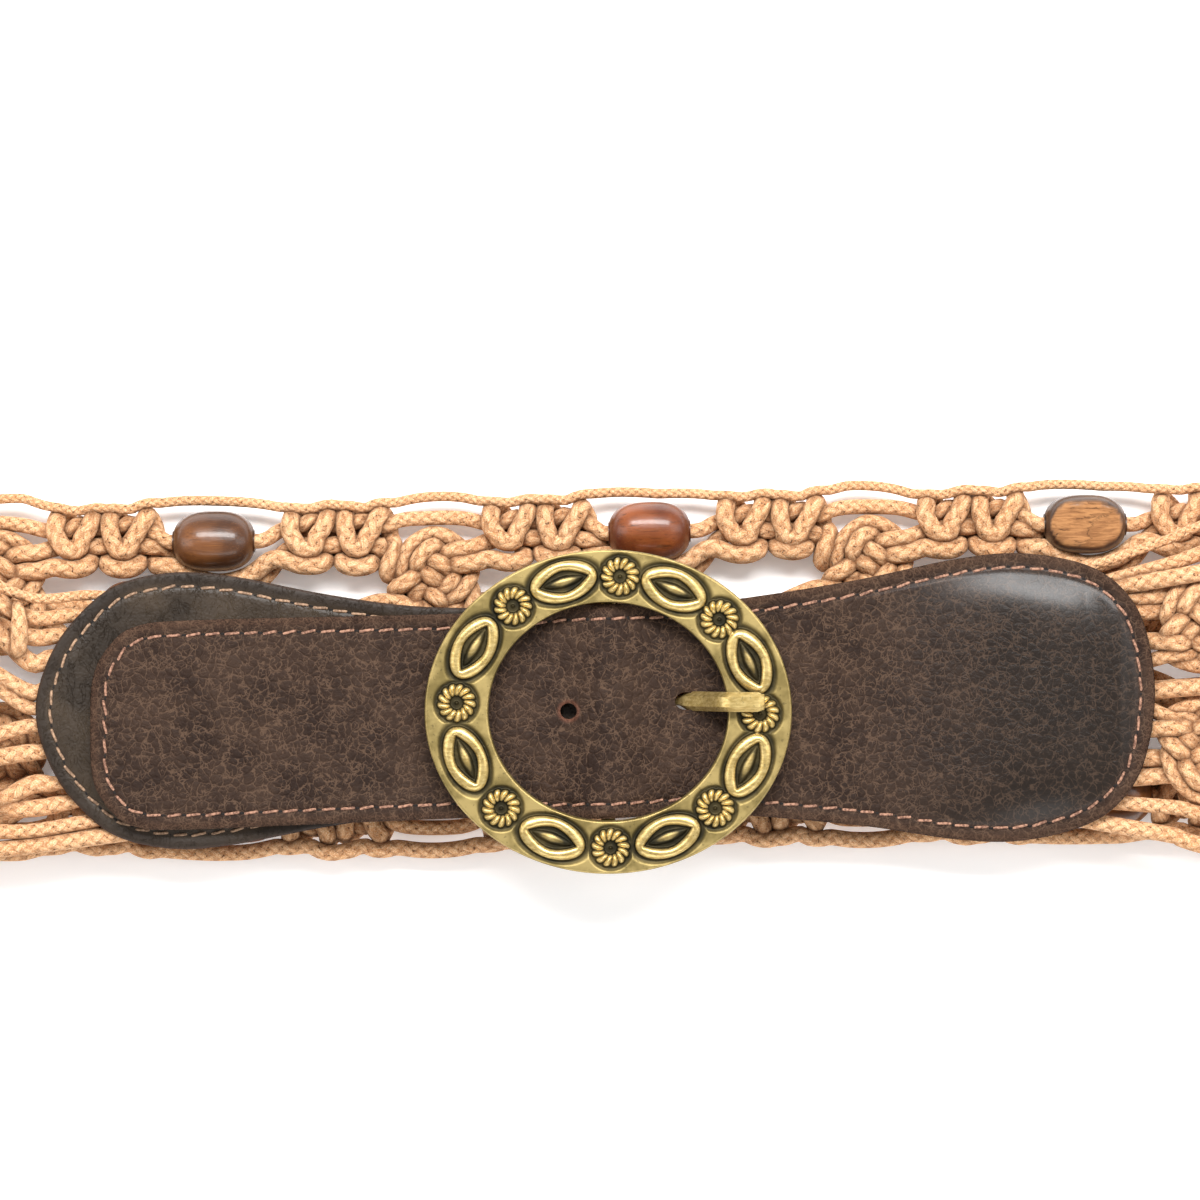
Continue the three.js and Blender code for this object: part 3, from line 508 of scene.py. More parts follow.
def upper_cords(slide):
    """One repeat of the six cords above the band's middle. slide moves the edge bead."""
    thin, core, inner_core, worker = [], [], [], []
    bead = BEAD_AT + slide
    for n, start in enumerate([0.0, SINNET + BEAD_WINDOW]):
        a, b, c, d = sinnet(start)
        thin += a
        core += b
        inner_core += c
        worker += d
        if n == 0:
            end = start + SINNET
            thin += [(end + 4, BAND_HALF - 0.3, 0.9), (bead, BAND_HALF + 0.2, 0.9)]
            thin += [(end + BEAD_WINDOW - 4, BAND_HALF - 0.5, 0.9)]
            core += [(bead - 9.5, BEAD_V, 99), (bead + 9.5, BEAD_V, 99)]
            inner_core += [(end + 5, DIP_V + 2.2, -1.2), (bead + 1, DIP_V - 2.6, -1.2)]
            inner_core += [(end + BEAD_WINDOW - 5, DIP_V + 1.0, -1.6)]
            worker += [(end + 3.5, 25.8, 0.6), (end + 8.3, DIP_V + 2.4, 0.8)]
            worker += [(bead + 1, DIP_V + 0.4, 0.8)]
            worker += [(end + BEAD_WINDOW - 6.4, DIP_V + 2.2, 0.8)]
            worker += [(end + BEAD_WINDOW - 2.4, 25.6, 0.6)]
    middle = WEAVE_AT
    thin += [(middle - 5, BAND_HALF, 0.9), (middle + 5, BAND_HALF, 0.9)]
    core += [(middle - 6, 32.9, -0.6), (middle + 6, 32.9, -0.6)]
    edge_pair, middle_pair = woven_knot((middle, WEAVE_V + 0.4))
    inner_core += edge_pair[0]
    worker += edge_pair[1]
    return thin, core, inner_core, worker, middle_pair


def middle_cords(middle_pair, sign):
    """The two cords of one side that make the middle knot and half of the woven one."""
    knot_start = CENTRE_AT - KNOT_PITCH / 2
    bead_cord = [(0.0, 15.6, 0.0), (INNER_BEAD_AT - 9.5, INNER_BEAD_V, 99)]
    bead_cord += [(INNER_BEAD_AT + 9.5, INNER_BEAD_V, 99)]
    if sign > 0:
        bead_cord += knot_over_core(knot_start, 0.2, 5.0, 1)
    else:
        bead_cord += [(knot_start + 1, 5.6, 0.4), (knot_start + KNOT_PITCH - 1, 5.6, 0.4)]
    bead_cord += [(knot_start + KNOT_PITCH + 4, 6.0, 0.3)]
    straight = [(0.0, 11.2, 0.0), (8.8, 5.9, 0.0), (knot_start - 2, 2.2, 0.0)]
    straight += [(knot_start + 1, 1.6, 0.0), (knot_start + KNOT_PITCH - 1, 1.6, 0.0)]
    straight += [(knot_start + KNOT_PITCH + 4, 2.9, 0.0)]
    return bead_cord + middle_pair[0], straight + middle_pair[1]


def repeat_cords():
    cords = {}
    for sign, edge in ((1, "upper"), (-1, "lower")):
        slide = 0.0 if sign > 0 else BEAD_SLIDE
        thin, core, inner_core, worker, pair = upper_cords(slide)
        bead_cord, straight = middle_cords(pair, sign)
        named = {
            "outer": thin,
            "core": core,
            "inner_core": inner_core,
            "worker": worker,
            "bead": bead_cord,
            "straight": straight,
        }
        for name, points in named.items():
            flipped = [(s, sign * v, w) for s, v, w in points]
            cords[f"{edge}_{name}"] = np.array(flipped)
    return cords


cord_plan = repeat_cords()
RADIUS = {name: CORD_RADIUS for name in cord_plan}
RADIUS["upper_worker"] = RADIUS["lower_worker"] = 2.0
RADIUS["upper_outer"] = 1.08
RADIUS["lower_outer"] = 1.75
for name in cord_plan:
    if name.endswith(("inner_core", "bead")):
        RADIUS[name] = 1.85
print("cords:", len(cord_plan), "points:", sum(len(points) for points in cord_plan.values()))

# %% [markdown]
# ## Letting the cords push each other apart
# The drawn lines cut into each other. Real cords can't, so the points of one repeat
# are pushed apart wherever two cords come closer than their radii allow, over and over,
# and each line is smoothed a little between the pushes. The repeat follows itself, so
# distances along the band are taken modulo one repeat.


# %% Relaxing one repeat
LIFT_MARK = 50.0
STEP = 1.0


def sample_repeat(points):
    """Evenly spaced points from one repeat to the same place in the next."""
    lifted = points.copy()
    lifted[:, 2] = np.where(points[:, 2] > LIFT_MARK, 0.0, points[:, 2])
    after = lifted[:3] + [REPEAT, 0, 0]
    before = lifted[-3:] - [REPEAT, 0, 0]
    fine = smooth_route(np.concatenate([before, lifted, after]), STEP / 2)
    head = np.argmin(np.linalg.norm(fine - lifted[0], axis=1))
    tail = np.argmin(np.linalg.norm(fine - after[0], axis=1))
    return smooth_route(fine[head : tail + 1 : 2], STEP)[:-1]


def relax(cords, rounds=60):
    names = list(cords)
    counts = [len(cords[name]) for name in names]
    points = np.concatenate([cords[name] for name in names])
    owner = np.repeat(np.arange(len(names)), counts)
    order = np.concatenate([np.arange(count) for count in counts])
    radius = np.array([RADIUS[names[i]] for i in owner])
    length = np.array(counts)[owner]
    starts = np.concatenate([[0], np.cumsum(counts)])
    before = np.arange(len(points)) - 1
    after = np.arange(len(points)) + 1
    jump_before = np.zeros_like(points)
    jump_after = np.zeros_like(points)
    for i in range(len(names)):
        before[starts[i]] = starts[i + 1] - 1
        after[starts[i + 1] - 1] = starts[i]
        jump_before[starts[i], 0] = -REPEAT
        jump_after[starts[i + 1] - 1, 0] = REPEAT
    home = points.copy()
    apart = np.abs(order[:, None] - order[None, :])
    apart = np.minimum(apart, length[:, None] - apart)
    near_kin = (owner[:, None] == owner[None, :]) & (apart < 5)
    reach = radius[:, None] + radius[None, :]
    roof = 4.2 - radius
    for n in range(rounds):
        gap = points[:, None, :] - points[None, :, :]
        gap[:, :, 0] -= REPEAT * np.round(gap[:, :, 0] / REPEAT)
        distance = np.linalg.norm(gap, axis=2) + 1e-6
        push = np.where(near_kin, 0, np.clip(reach * 0.92 - distance, 0, None))
        move = (gap * (push / distance * 0.32)[:, :, None]).sum(1)
        size = np.linalg.norm(move, axis=1, keepdims=True)
        points += move * np.minimum(1, 0.5 / np.maximum(size, 1e-6))
        average = (points[before] + jump_before + points[after] + jump_after) / 2
        points += (average - points) * 0.22
        points += (home - points) * 0.035
        points[:, 2] = np.clip(points[:, 2], -roof, roof)
    touching = np.where(near_kin, 0, np.clip(reach - distance, 0, None)).max()
    print("after", rounds, "rounds the deepest overlap is", round(float(touching), 2), "mm")
    return {name: points[starts[i] : starts[i + 1]] for i, name in enumerate(names)}


sampled = {name: sample_repeat(points) for name, points in cord_plan.items()}
relaxed = relax(sampled, 60)
print("points in one repeat:", sum(len(points) for points in relaxed.values()))

# %% [markdown]
# ## The whole cords
# Copies of the repeat follow one another along the band, each with a slow wobble of its
# own. Straight cords lead into the tab, four to a group, and the far ends go into the
# strap. Where a cord carries a bead at the back, it is lifted to the bead's middle.

# %% Laying the cords
wobble = np.random.default_rng(4)
LEAD_ORDER = ["outer", "core", "inner_core", "worker"]
LEFT_V = [33.2, 27.3, 21.9, 15.7, 7.4, 2.0, -4.7, -11.5, -21.5, -27.4, -33.6, -38.0]
LEFT_ENDS = [(-101.5, 15.8), (-106, 11.4), (-109.5, 7.4), (-112.5, 2.8)]
LEFT_ENDS += [(-114, -3.5), (-114.5, -7.5), (-114.5, -12.3), (-114, -17.2)]
LEFT_ENDS += [(-112, -23.6), (-108.5, -27.6), (-102, -31.2), (-93, -33.6)]
RIGHT_ENDS = [(97.5, 19.6), (101.5, 17.0), (104.5, 14.6), (107.3, 11.6)]
RIGHT_ENDS += [(110.5, 6.5), (111.5, 0.5), (111.5, -6), (110.5, -13)]
RIGHT_ENDS += [(108.5, -18.5), (105, -23.5), (100.5, -27.5), (95, -30.5)]
CORD_ORDER = [f"upper_{kind}" for kind in LEAD_ORDER] + ["upper_bead", "upper_straight"]
CORD_ORDER += ["lower_straight", "lower_bead"] + [f"lower_{kind}" for kind in LEAD_ORDER[::-1]]


def lead_in(name, first):
    at_tab = LEFT_V[CORD_ORDER.index(name)]
    ends = [(3.0, at_tab, 0.0), (LEAD_IN * 0.6, lerp(at_tab, first[1], 0.3), 0.1)]
    return np.array(ends)


def whole_cord(name, piece):
    radius = RADIUS[name]
    cut = np.argmax(piece[:, 0] > REPEAT - WEAVE_WINDOW - 0.5)
    parts = [piece[cut:] + [REPEAT_START - REPEAT, 0, 0]]
    for n in range(REPEATS):
        parts.append(piece + [REPEAT_START + n * REPEAT, 0, 0])
    line = np.concatenate(parts)
    line = line[: len(line) - np.argmax(line[::-1, 0] < BAND_LENGTH - 3.0)]
    line = np.concatenate([lead_in(name, line[0]), line])
    count = len(line)
    for axis, amount in ((1, 0.35), (2, 0.18)):
        knots = wobble.normal(0, amount, count // 14 + 3)
        line[:, axis] += np.interp(np.arange(count), np.arange(len(knots)) * 14, knots)
    half = BEAD_LENGTH / 2
    for at, kinds in ((BEAD_AT, "core"), (INNER_BEAD_AT, "bead")):
        if not name.endswith("_" + kinds) or name.endswith("inner_core"):
            continue
        v = BEAD_V if kinds == "core" else INNER_BEAD_V
        sign = 1 if name.startswith("upper") else -1
        slide = BEAD_SLIDE if kinds == "core" and sign < 0 else 0
        for n in range(REPEATS):
            s = REPEAT_START + n * REPEAT + at + slide
            near = 1 - ease(np.abs(line[:, 0] - s), half + 0.6, half + 4.5)
            line[:, 2] = lerp(line[:, 2], bead_lift(np.full(count, s)), near)
            line[:, 1] = lerp(line[:, 1], sign * v, near)
    room = 4.15 - radius
    line[:, 2] = np.clip(line[:, 2], -room, room)
    placed = lay(line[::2])
    left, right = (ends[CORD_ORDER.index(name)] for ends in (LEFT_ENDS, RIGHT_ENDS))
    start = [(*left, 13.4), (*lerp(np.array(left), placed[0, :2], 0.35), 13.5)]
    end = [(*lerp(np.array(right), placed[-1, :2], 0.35), 13.6), (*right, 13.4)]
    return smooth_route(np.concatenate([start, placed, end]), STEP)


laid = {}
for name, piece in relaxed.items():
    laid[name] = whole_cord(name, piece)
# A turn round the cords beside the tab, and two loops that fill the fan by the strap
turns = np.linspace(0, 2 * math.pi, 15)[:-1]
wrap_x = -122.9 + 0.9 * np.sin(turns)
wrap = np.stack([wrap_x, 8.5 + 4.9 * np.cos(turns), 14.6 + 3.1 * np.sin(turns)], 1)
laid["upper_wrap"] = smooth_route(wrap, STEP, closed=True)
upper_loop = [(96, 12.0, 13.0), (101, 14.2, 13.0), (106, 16.4, 13.4), (112, 17.9, 15.4)]
upper_loop += [(119, 19.2, 18.6), (127, 20.6, 20.6), (135, 21.6, 20), (138, 21.8, 17)]
upper_loop += [(128, 19.6, 14.8), (112, 15.6, 13.0)]
lower_loop = [(103, -5.5, 13.0), (113, -4.9, 13.2), (118.5, -4.3, 15.4), (125, -3.6, 18.6)]
lower_loop += [(132, -2.8, 20.2), (137, -2.6, 17), (126, -3.4, 14.4), (112, -4.6, 13.0)]
laid["upper_loop"] = smooth_route(upper_loop, STEP, closed=True)
laid["lower_loop"] = smooth_route(lower_loop, STEP, closed=True)
RADIUS["upper_wrap"] = RADIUS["upper_loop"] = RADIUS["lower_loop"] = 1.8
total = sum(np.linalg.norm(np.diff(line, axis=0), axis=1).sum() for line in laid.values())
print("cord in the whole band:", round(total / 1000, 2), "m")


# %% [markdown]
# ## The cord itself
# The cord is cotton, plaited from fine yarn. Each line gets a round skin that carries two
# numbers for its finish: the way along the cord and the way round it, both in turns of
# the plait. A plait drawn on those numbers follows every bend, which a pattern in space
# would not, and modelling each yarn would cost millions of faces.


# %% Skins
SIDES = 10


def tube(line, radius, sides=SIDES):
    along = np.gradient(line, axis=0)
    along /= np.linalg.norm(along, axis=1)[:, None]
    frame_x = np.zeros_like(line)
    start = np.cross(along[0], (0, 0, 1.0))
    frame_x[0] = start / np.linalg.norm(start)
    for i in range(1, len(line)):
        side = frame_x[i - 1] - along[i] * np.dot(frame_x[i - 1], along[i])
        frame_x[i] = side / np.linalg.norm(side)
    frame_y = np.cross(along, frame_x)
    angle = np.arange(sides) / sides * 2 * math.pi
    ring = np.cos(angle)[None, :, None] * frame_x[:, None]
    ring = ring + np.sin(angle)[None, :, None] * frame_y[:, None]
    reach = np.broadcast_to(radius, len(line))[:, None, None]
    points = line[:, None] + ring * reach
    faces = grid_faces(len(line), sides, wrap_columns=True)
    last = (len(line) - 1) * sides
    faces.append(list(range(sides)))
    faces.append([last + i for i in reversed(range(sides))])
    return points.reshape(-1, 3), faces


def cord_radius(name, count):
    """Thinner at both ends, where the leather squeezes the cord."""
    from_end = np.minimum(np.arange(count), np.arange(count)[::-1]) * STEP
    return RADIUS[name] * lerp(0.68, 1, ease(from_end, 0, 7))


def find_crevices(lines):
    """How near each skin point comes to another cord, from 0, free, to 1, touching. The cord
    finish darkens by it: painted shade where cords touch.
    """
    names = list(lines)
    centres = np.concatenate([lines[name] for name in names])
    owner = np.repeat(np.arange(len(names)), [len(lines[name]) for name in names])
    tree = KDTree(len(centres))
    for i, point in enumerate(centres):
        tree.insert(point, i)
    tree.balance()
    first, second = [], []
    for i, point in enumerate(centres):
        for _, j, _ in tree.find_range(point, 4.9):
            if owner[i] != owner[j] or abs(i - j) > 5:
                first.append(i)
                second.append(j)
    first, second = np.array(first), np.array(second)
    radii = np.array([RADIUS[names[k]] for k in owner])
    skins = np.concatenate([tube(lines[n], RADIUS[n])[0] for n in names])
    skins = skins.reshape(len(centres), SIDES, 3)
    gap = np.full((len(centres), SIDES), 9.0)
    away = np.linalg.norm(skins[first] - centres[second][:, None], axis=2)
    np.minimum.at(gap, first, away - radii[second][:, None])
    depth = 1 - ease(gap, -0.3, 1.25)
    cuts = np.cumsum([len(lines[name]) for name in names])[:-1]
    return dict(zip(names, np.split(depth, cuts)))


def braid_map(line, radius, sides=SIDES):
    """For each corner of each face, the way along the cord and the turn round it."""
    step = np.linalg.norm(np.diff(line, axis=0), axis=1)
    way = np.concatenate([[0], np.cumsum(step)]) / (1.85 * radius)
    turn = np.arange(sides + 1) * 4 / sides
    corners = np.zeros((len(line) - 1, sides, 4, 2))
    corners[:, :, (0, 1), 0] = way[:-1, None, None]
    corners[:, :, (2, 3), 0] = way[1:, None, None]
    corners[:, :, (0, 3), 1] = turn[None, :-1, None]
    corners[:, :, (1, 2), 1] = turn[None, 1:, None]
    return np.concatenate([corners.reshape(-1, 2), np.zeros((2 * sides, 2))])


def cord_finish():
    f = Finish("braided_cotton")
    parts = f.node("SeparateXYZ", None, {0: f.attribute("braid", "Vector")})
    way, turn = parts.out(0), parts.out(1)
    place = f.place()
    # Strands run round the cord both ways. Where two cross, each is on top by turns.
    one = ((way + turn) * math.pi).cosine()
    other = ((way - turn) * math.pi).cosine()
    over = one * other * 0.36
    strands = (one.size() * 0.64 + over).larger(other.size() * 0.64 - over)
    yarn = [
        f.noise(f.node("CombineXYZ", None, {0: a * 7.0, 1: b * 0.9}).out(0), 1.0, 2.0, 0.6)
        for a, b in ((way + turn, way - turn), (way - turn, way + turn))
    ]
    on_top = (one.size() * 0.64 + over - other.size() * 0.64 + over).step(-0.05, 0.05)
    fibre = yarn[0] * on_top + yarn[1] * (1 - on_top)
    fluff = f.noise(place, 3400.0, 3.0, 0.7)
    patches = f.noise(place, 60.0, 2.0)
    specks = f.noise(place, 2300.0, 1.0)
    gap = 1 - strands.step(0.36, 0.70)
    speck = (1 - strands.step(0.42, 0.62)) * specks.step(0.60, 0.66)
    crevice = f.attribute("crevice")
    tan = f.blend(patches.step(0.35, 0.65), colour(202, 142, 92), colour(214, 158, 110))
    worn = f.blend(fluff.step(0.38, 0.68) * 0.75, tan, colour(250, 220, 180))
    worn = f.blend((1 - fibre.step(0.34, 0.52)) * 0.55, worn, colour(160, 100, 58))
    # Painted shade: the gaps between the plait's strands are darkened.
    shaded = f.blend(gap * 0.5, worn, colour(140, 88, 50))
    # Painted shade: the cord darkens where it touches another cord.
    shaded = f.blend(crevice * 0.85, shaded, colour(92, 52, 26))
    specked = f.blend(speck * 0.85, shaded, colour(66, 42, 28))
    normal = f.bump(strands * 0.8 + fibre * 0.35 + fluff * 0.35, 0.00034, 0.9)
    return f.finish(
        Base_Color=specked,
        Roughness=0.85,
        Normal=normal,
        Sheen_Weight=0.15,
        Sheen_Roughness=0.6,
        Sheen_Tint=colour(255, 225, 185),
        Specular_IOR_Level=0.15,
    )


cotton = cord_finish()
crevices = find_crevices(laid)
groups = {
    "upper_cords": ["upper_outer", "upper_core", "upper_inner_core", "upper_worker"],
    "middle_cords": ["upper_bead", "upper_straight", "lower_bead", "lower_straight"],
    "lower_cords": ["lower_outer", "lower_core", "lower_inner_core", "lower_worker"],
}
groups["upper_cords"] += ["upper_wrap", "upper_loop"]
groups["lower_cords"] += ["lower_loop"]
for group, names in groups.items():
    points, faces, maps = [], [], []
    start = 0
    for name in names:
        skin, skin_faces = tube(laid[name], cord_radius(name, len(laid[name])))
        points.append(skin)
        faces += [[i + start for i in face] for face in skin_faces]
        maps.append(braid_map(laid[name], RADIUS[name]))
        start += len(skin)
    piece = make_piece(group, np.concatenate(points), faces, cotton, ["macrame_band"])
    layer = piece.data.uv_layers.new(name="braid")
    layer.data.foreach_set("uv", np.concatenate(maps).astype(np.float32).ravel())
    add_numbers(piece, "crevice", np.concatenate([crevices[name].ravel() for name in names]))

# %% [markdown]
# ## The beads
# Turned barrels of wood, stained and varnished, each on its cord. One outline turned
# round an axis makes them all, and each is laid along its cord by the same route as the
# band. The grain runs along the bead, so its noise is stretched that way. One bead has
# lost a face to wear, so it is cut flat there and shows bare wood with dark cracks.


# %% Bead finish
def bead_finish(name, light, dark):
    f = Finish(name)
    bare = f.attribute("bare")
    end = f.attribute("bead_end")
    grain_place = f.attribute("bead_place", "Vector")
    grain = f.noise(f.stretch(grain_place, (0.35, 3.0, 3.0)), 0.55, 4.0, 0.65, 0.6)
    fine = f.noise(f.stretch(grain_place, (0.12, 4.0, 4.0)), 1.6, 3.0, 0.7)
    cloud = f.noise(grain_place, 0.09, 2.0)
    stain_and_end_shade = f.blend(cloud.step(0.35, 0.7), dark, light)
    # Painted shade: the bead darkens towards both ends, where the barrel rounds away.
    stain_and_end_shade = f.blend(end.step(0.45, 1.0) * 0.75, stain_and_end_shade, dark)
    wood = f.blend(grain.step(0.52, 0.75) * 0.7, stain_and_end_shade, colour(52, 30, 16))
    wood = f.blend(fine.step(0.5, 0.8) * 0.35, wood, colour(168, 108, 54))
    cracks = 1 - (cloud + grain * 0.4 - 0.7).size().step(0.0, 0.012)
    raw_wood = f.blend(grain.step(0.35, 0.65), colour(168, 118, 72), colour(128, 84, 48))
    raw_wood = f.blend(cracks * 0.8, raw_wood, colour(62, 40, 26))
    wood = f.blend(bare, wood, raw_wood)
    height = grain * 0.5 + fine * 0.5 - cracks * bare
    return f.finish(
        Base_Color=wood,
        Roughness=0.3 + bare * 0.5,
        Normal=f.bump(height, 0.00012, 0.6),
        Coat_Weight=0.4 * (1 - bare),
        Coat_Roughness=0.14,
        Specular_IOR_Level=0.35,
    )


bead_finishes = [
    bead_finish("bead_brown", colour(142, 88, 38), colour(74, 42, 20)),
    bead_finish("bead_red_brown", colour(146, 78, 38), colour(88, 40, 20)),
    bead_finish("bead_dark", colour(118, 72, 38), colour(60, 34, 19)),
    bead_finish("bead_worn", colour(84, 62, 48), colour(58, 40, 30)),
]
print("bead finishes:", len(bead_finishes))

# %% Beads
BEAD_SIDES = 32


def barrel(rng):
    """A turned barrel along X with a hole, and its own small faults."""
    half = BEAD_LENGTH / 2
    t = np.sin(np.linspace(-math.pi / 2, math.pi / 2, 29))
    radius = BEAD_WIDTH / 2 * (1 - (np.abs(t) * 0.985) ** 2.7) ** 0.42
    x = t * half
    rings = [(-half + 1.2, 1.75), (-half + 0.2, 2.0), (-half, 2.5)]
    rings += list(zip(x, radius))
    rings += [(half, 2.5), (half - 0.2, 2.0), (half - 1.2, 1.75)]
    rings = np.array(rings)
    angle = np.arange(BEAD_SIDES) / BEAD_SIDES * 2 * math.pi
    flat = 1 + 0.018 * np.cos(2 * angle + rng.uniform(0, 6)) + 0.01 * np.cos(3 * angle)
    flat = flat - 0.018
    y = rings[:, 1, None] * np.cos(angle) * flat
    z = rings[:, 1, None] * np.sin(angle) * flat
    x = np.repeat(rings[:, :1], BEAD_SIDES, axis=1)
    return np.stack([x, y, z], 2).reshape(-1, 3), len(rings)


chooser = np.random.default_rng(11)
bead_rows = [
    ("bead_edge_top", 1, BEAD_V, BEAD_AT),
    ("bead_edge_bottom", -1, BEAD_V, BEAD_AT + BEAD_SLIDE),
    ("bead_inner_top", 1, INNER_BEAD_V, INNER_BEAD_AT),
    ("bead_inner_bottom", -1, INNER_BEAD_V, INNER_BEAD_AT),
]
RED_BEAD, WORN_BEAD = "bead_edge_top_4", "bead_edge_top_5"
for row, sign, v, at in bead_rows:
    for n in range(REPEATS):
        node = f"{row}_{n + 1}"
        s = REPEAT_START + n * REPEAT + at
        half = BEAD_LENGTH / 2
        lift = float(bead_lift(np.array([s]))[0])
        ends = lay([(s - half, sign * v, lift), (s + half, sign * v, lift)])
        middle = ends.mean(0)
        along = (ends[1] - ends[0]) / np.linalg.norm(ends[1] - ends[0])
        side = np.cross((0, 0, 1.0), along)
        side /= np.linalg.norm(side)
        up = np.cross(along, side)
        shape, rings = barrel(chooser)
        roll = chooser.uniform(0, 2 * math.pi)
        bare = np.zeros(len(shape))
        if node == WORN_BEAD:
            cut = 4.3 + 0.25 * np.sin(shape[:, 0] * 0.9) * np.cos(shape[:, 1] * 0.7)
            bare = ease(shape[:, 2] - cut, -0.25, 0.1)
            shape[:, 2] = np.minimum(shape[:, 2], cut)
            roll = 0.0
        turned_y = shape[:, 1] * math.cos(roll) - shape[:, 2] * math.sin(roll)
        turned_z = shape[:, 1] * math.sin(roll) + shape[:, 2] * math.cos(roll)
        points = middle + shape[:, :1] * along
        points = points + turned_y[:, None] * side + turned_z[:, None] * up
        pick = {RED_BEAD: 1, WORN_BEAD: 3}.get(node, int(chooser.integers(0, 3)))
        faces = grid_faces(rings, BEAD_SIDES, wrap_rows=True, wrap_columns=True, flip=True)
        piece = make_piece(
            node + "_turned", points, faces, bead_finishes[pick], [node]
        )
        add_numbers(piece, "bead_end", np.abs(shape[:, 0]) / half)
        add_numbers(piece, "bare", bare)
        grain = piece.data.attributes.new("bead_place", "FLOAT_VECTOR", "POINT")
        moved = (shape + chooser.uniform(-40, 40, 3)).astype(np.float32)
        grain.data.foreach_set("vector", moved.ravel())

# %% [markdown]
# ## Leather sheets
# Both leather ends are two layers sewn together. A sheet is a grid of points in rows
# that follow its two long edges, close together near them, where the edge is rounded and
# the stitches press a groove. The grid was chosen over a filled outline because its rows
# give the stitch line and the worn edge for nothing.


# %% Outlines
TAB_EDGE = [
    (-1, 1, 0),
    (-0.985, 1, 0.3),
    (-0.945, 1, 0.6),
    (-0.87, 1, 0.89),
    (-0.77, 1, 1),
    (-0.66, 0.91, 1),
    (-0.5, 0.42, 1),
    (-0.35, 0.08, 1),
    (-0.2, 0, 1),
]
STRAP_EDGE = [
    (-1, 0, 0),
    (-0.995, 0, 0.5),
    (-0.96, 0, 0.82),
    (-0.91, 0, 0.98),
    (-0.8, 0.05, 1),
    (-0.35, 0, 1),
    (0, 0, 1),
    (0.13, 0.01, 1),
    (0.3, 0.22, 1),
    (0.47, 0.52, 1),
    (0.64, 0.92, 1),
    (0.76, 1, 1),
    (0.88, 1, 0.9),
    (0.95, 1, 0.69),
    (0.985, 1, 0.42),
    (1, 1, 0),
]


def leather_outline(table, left, right, narrow, wide, slope, cut_at=None):
    def place(x, half):
        return (BAR_X + x, RING_Y + slope * x + half)

    def edge(side):
        rows = []
        for along, flare, close in table:
            half = lerp(narrow, wide, flare) / 2 * close
            rows.append(place(along * (left if along < 0 else right), side * half))
        return rows

    upper, lower = edge(1), edge(-1)
    if cut_at is not None:
        route = smooth_route(upper[::-1] + lower[1:], 0.4)
        first, last = place(cut_at, narrow / 2), place(cut_at, -narrow / 2)
        return np.concatenate([[first], route, [last]])
    return smooth_route(upper[::-1] + lower[1:-1], 0.4, closed=True)


def edge_heights(outline, x):
    """The outline's lowest and highest y at each x."""
    low = np.full(len(x), np.inf)
    high = np.full(len(x), -np.inf)
    a, b = outline[:-1], outline[1:]
    for p, q in zip(a, b):
        x0, x1 = sorted((p[0], q[0]))
        inside = (x >= x0) & (x <= x1)
        if not inside.any() or x1 - x0 < 1e-9:
            continue
        y = p[1] + (q[1] - p[1]) * (x[inside] - p[0]) / (q[0] - p[0])
        low[inside] = np.minimum(low[inside], y)
        high[inside] = np.maximum(high[inside], y)
    return low, high


tab_outline = leather_outline(
    TAB_EDGE, TAB_REACH, TAB_REACH, NECK_WIDTH, TAB_WIDTH, 0, 2 * EYE
)
strap_outline = leather_outline(
    STRAP_EDGE, TIP_REACH, END_REACH, STRAP_WIDTH, END_WIDTH, STRAP_SKEW
)
# Inside the ring the strap is pressed out until it touches the ring's opening
pressed = 1 - ease(np.abs(strap_outline[:, 0] - BAR_X), 9, 22)
above = strap_outline[:, 1] > RING_Y
strap_outline[:, 1] += pressed * np.where(above, 0.95, -0.9)
print("outlines:", len(tab_outline), "and", len(strap_outline), "points")

# %% Surfaces of the strap and the tab
HUMP_REACH = OPENING_LENGTH / 3


def strap_hump(reach):
    away = np.clip((reach - EYE) / (HUMP_REACH - EYE), 0, 1)
    return (STRAP_OVER_BAR - STRAP_OVER_TAB) * (1 - away) ** 3


def strap_under(x):
    edge = BAR_X + RING_LENGTH / 2
    drop = (STRAP_OVER_TAB - TAB_UNDER) * ease(x, edge + 0.3, edge + 24)
    return STRAP_OVER_TAB + strap_hump(np.abs(x - BAR_X)) - drop


def edge_distance(outline, x, y):
    points = np.stack([x, y], 1)
    nearest = np.full(len(points), np.inf)
    for block in np.array_split(outline, max(1, len(outline) // 40)):
        gap = points[:, None] - block[None]
        nearest = np.minimum(nearest, np.hypot(gap[..., 0], gap[..., 1]).min(1))
    return nearest


FROM_EDGE = [0, 0.12, 0.3, 0.6, 1, 1.5, 2.1, 2.6, 2.9, 3.15, 3.4, 3.7, 4.2, 5, 6.2, 7.6]
FROM_EDGE += [9.2, 11, 13, 15, 17, 19, 21.5]


def sheet_columns(left, right, round_left, round_right, step=0.7, reach=14.0):
    """Stations along a sheet, closer together at a round end."""
    count = int((right - left) / step)
    x = np.linspace(left, right, count)
    ends = []
    closeness = (np.linspace(0, 1, 26) ** 2) * reach
    if round_left:
        x = x[x > left + reach]
        ends.append(left + 0.003 + closeness)
    if round_right:
        x = x[x < right - reach]
        ends.append(right - 0.003 - closeness)
    return np.unique(np.concatenate([x] + ends).round(4))


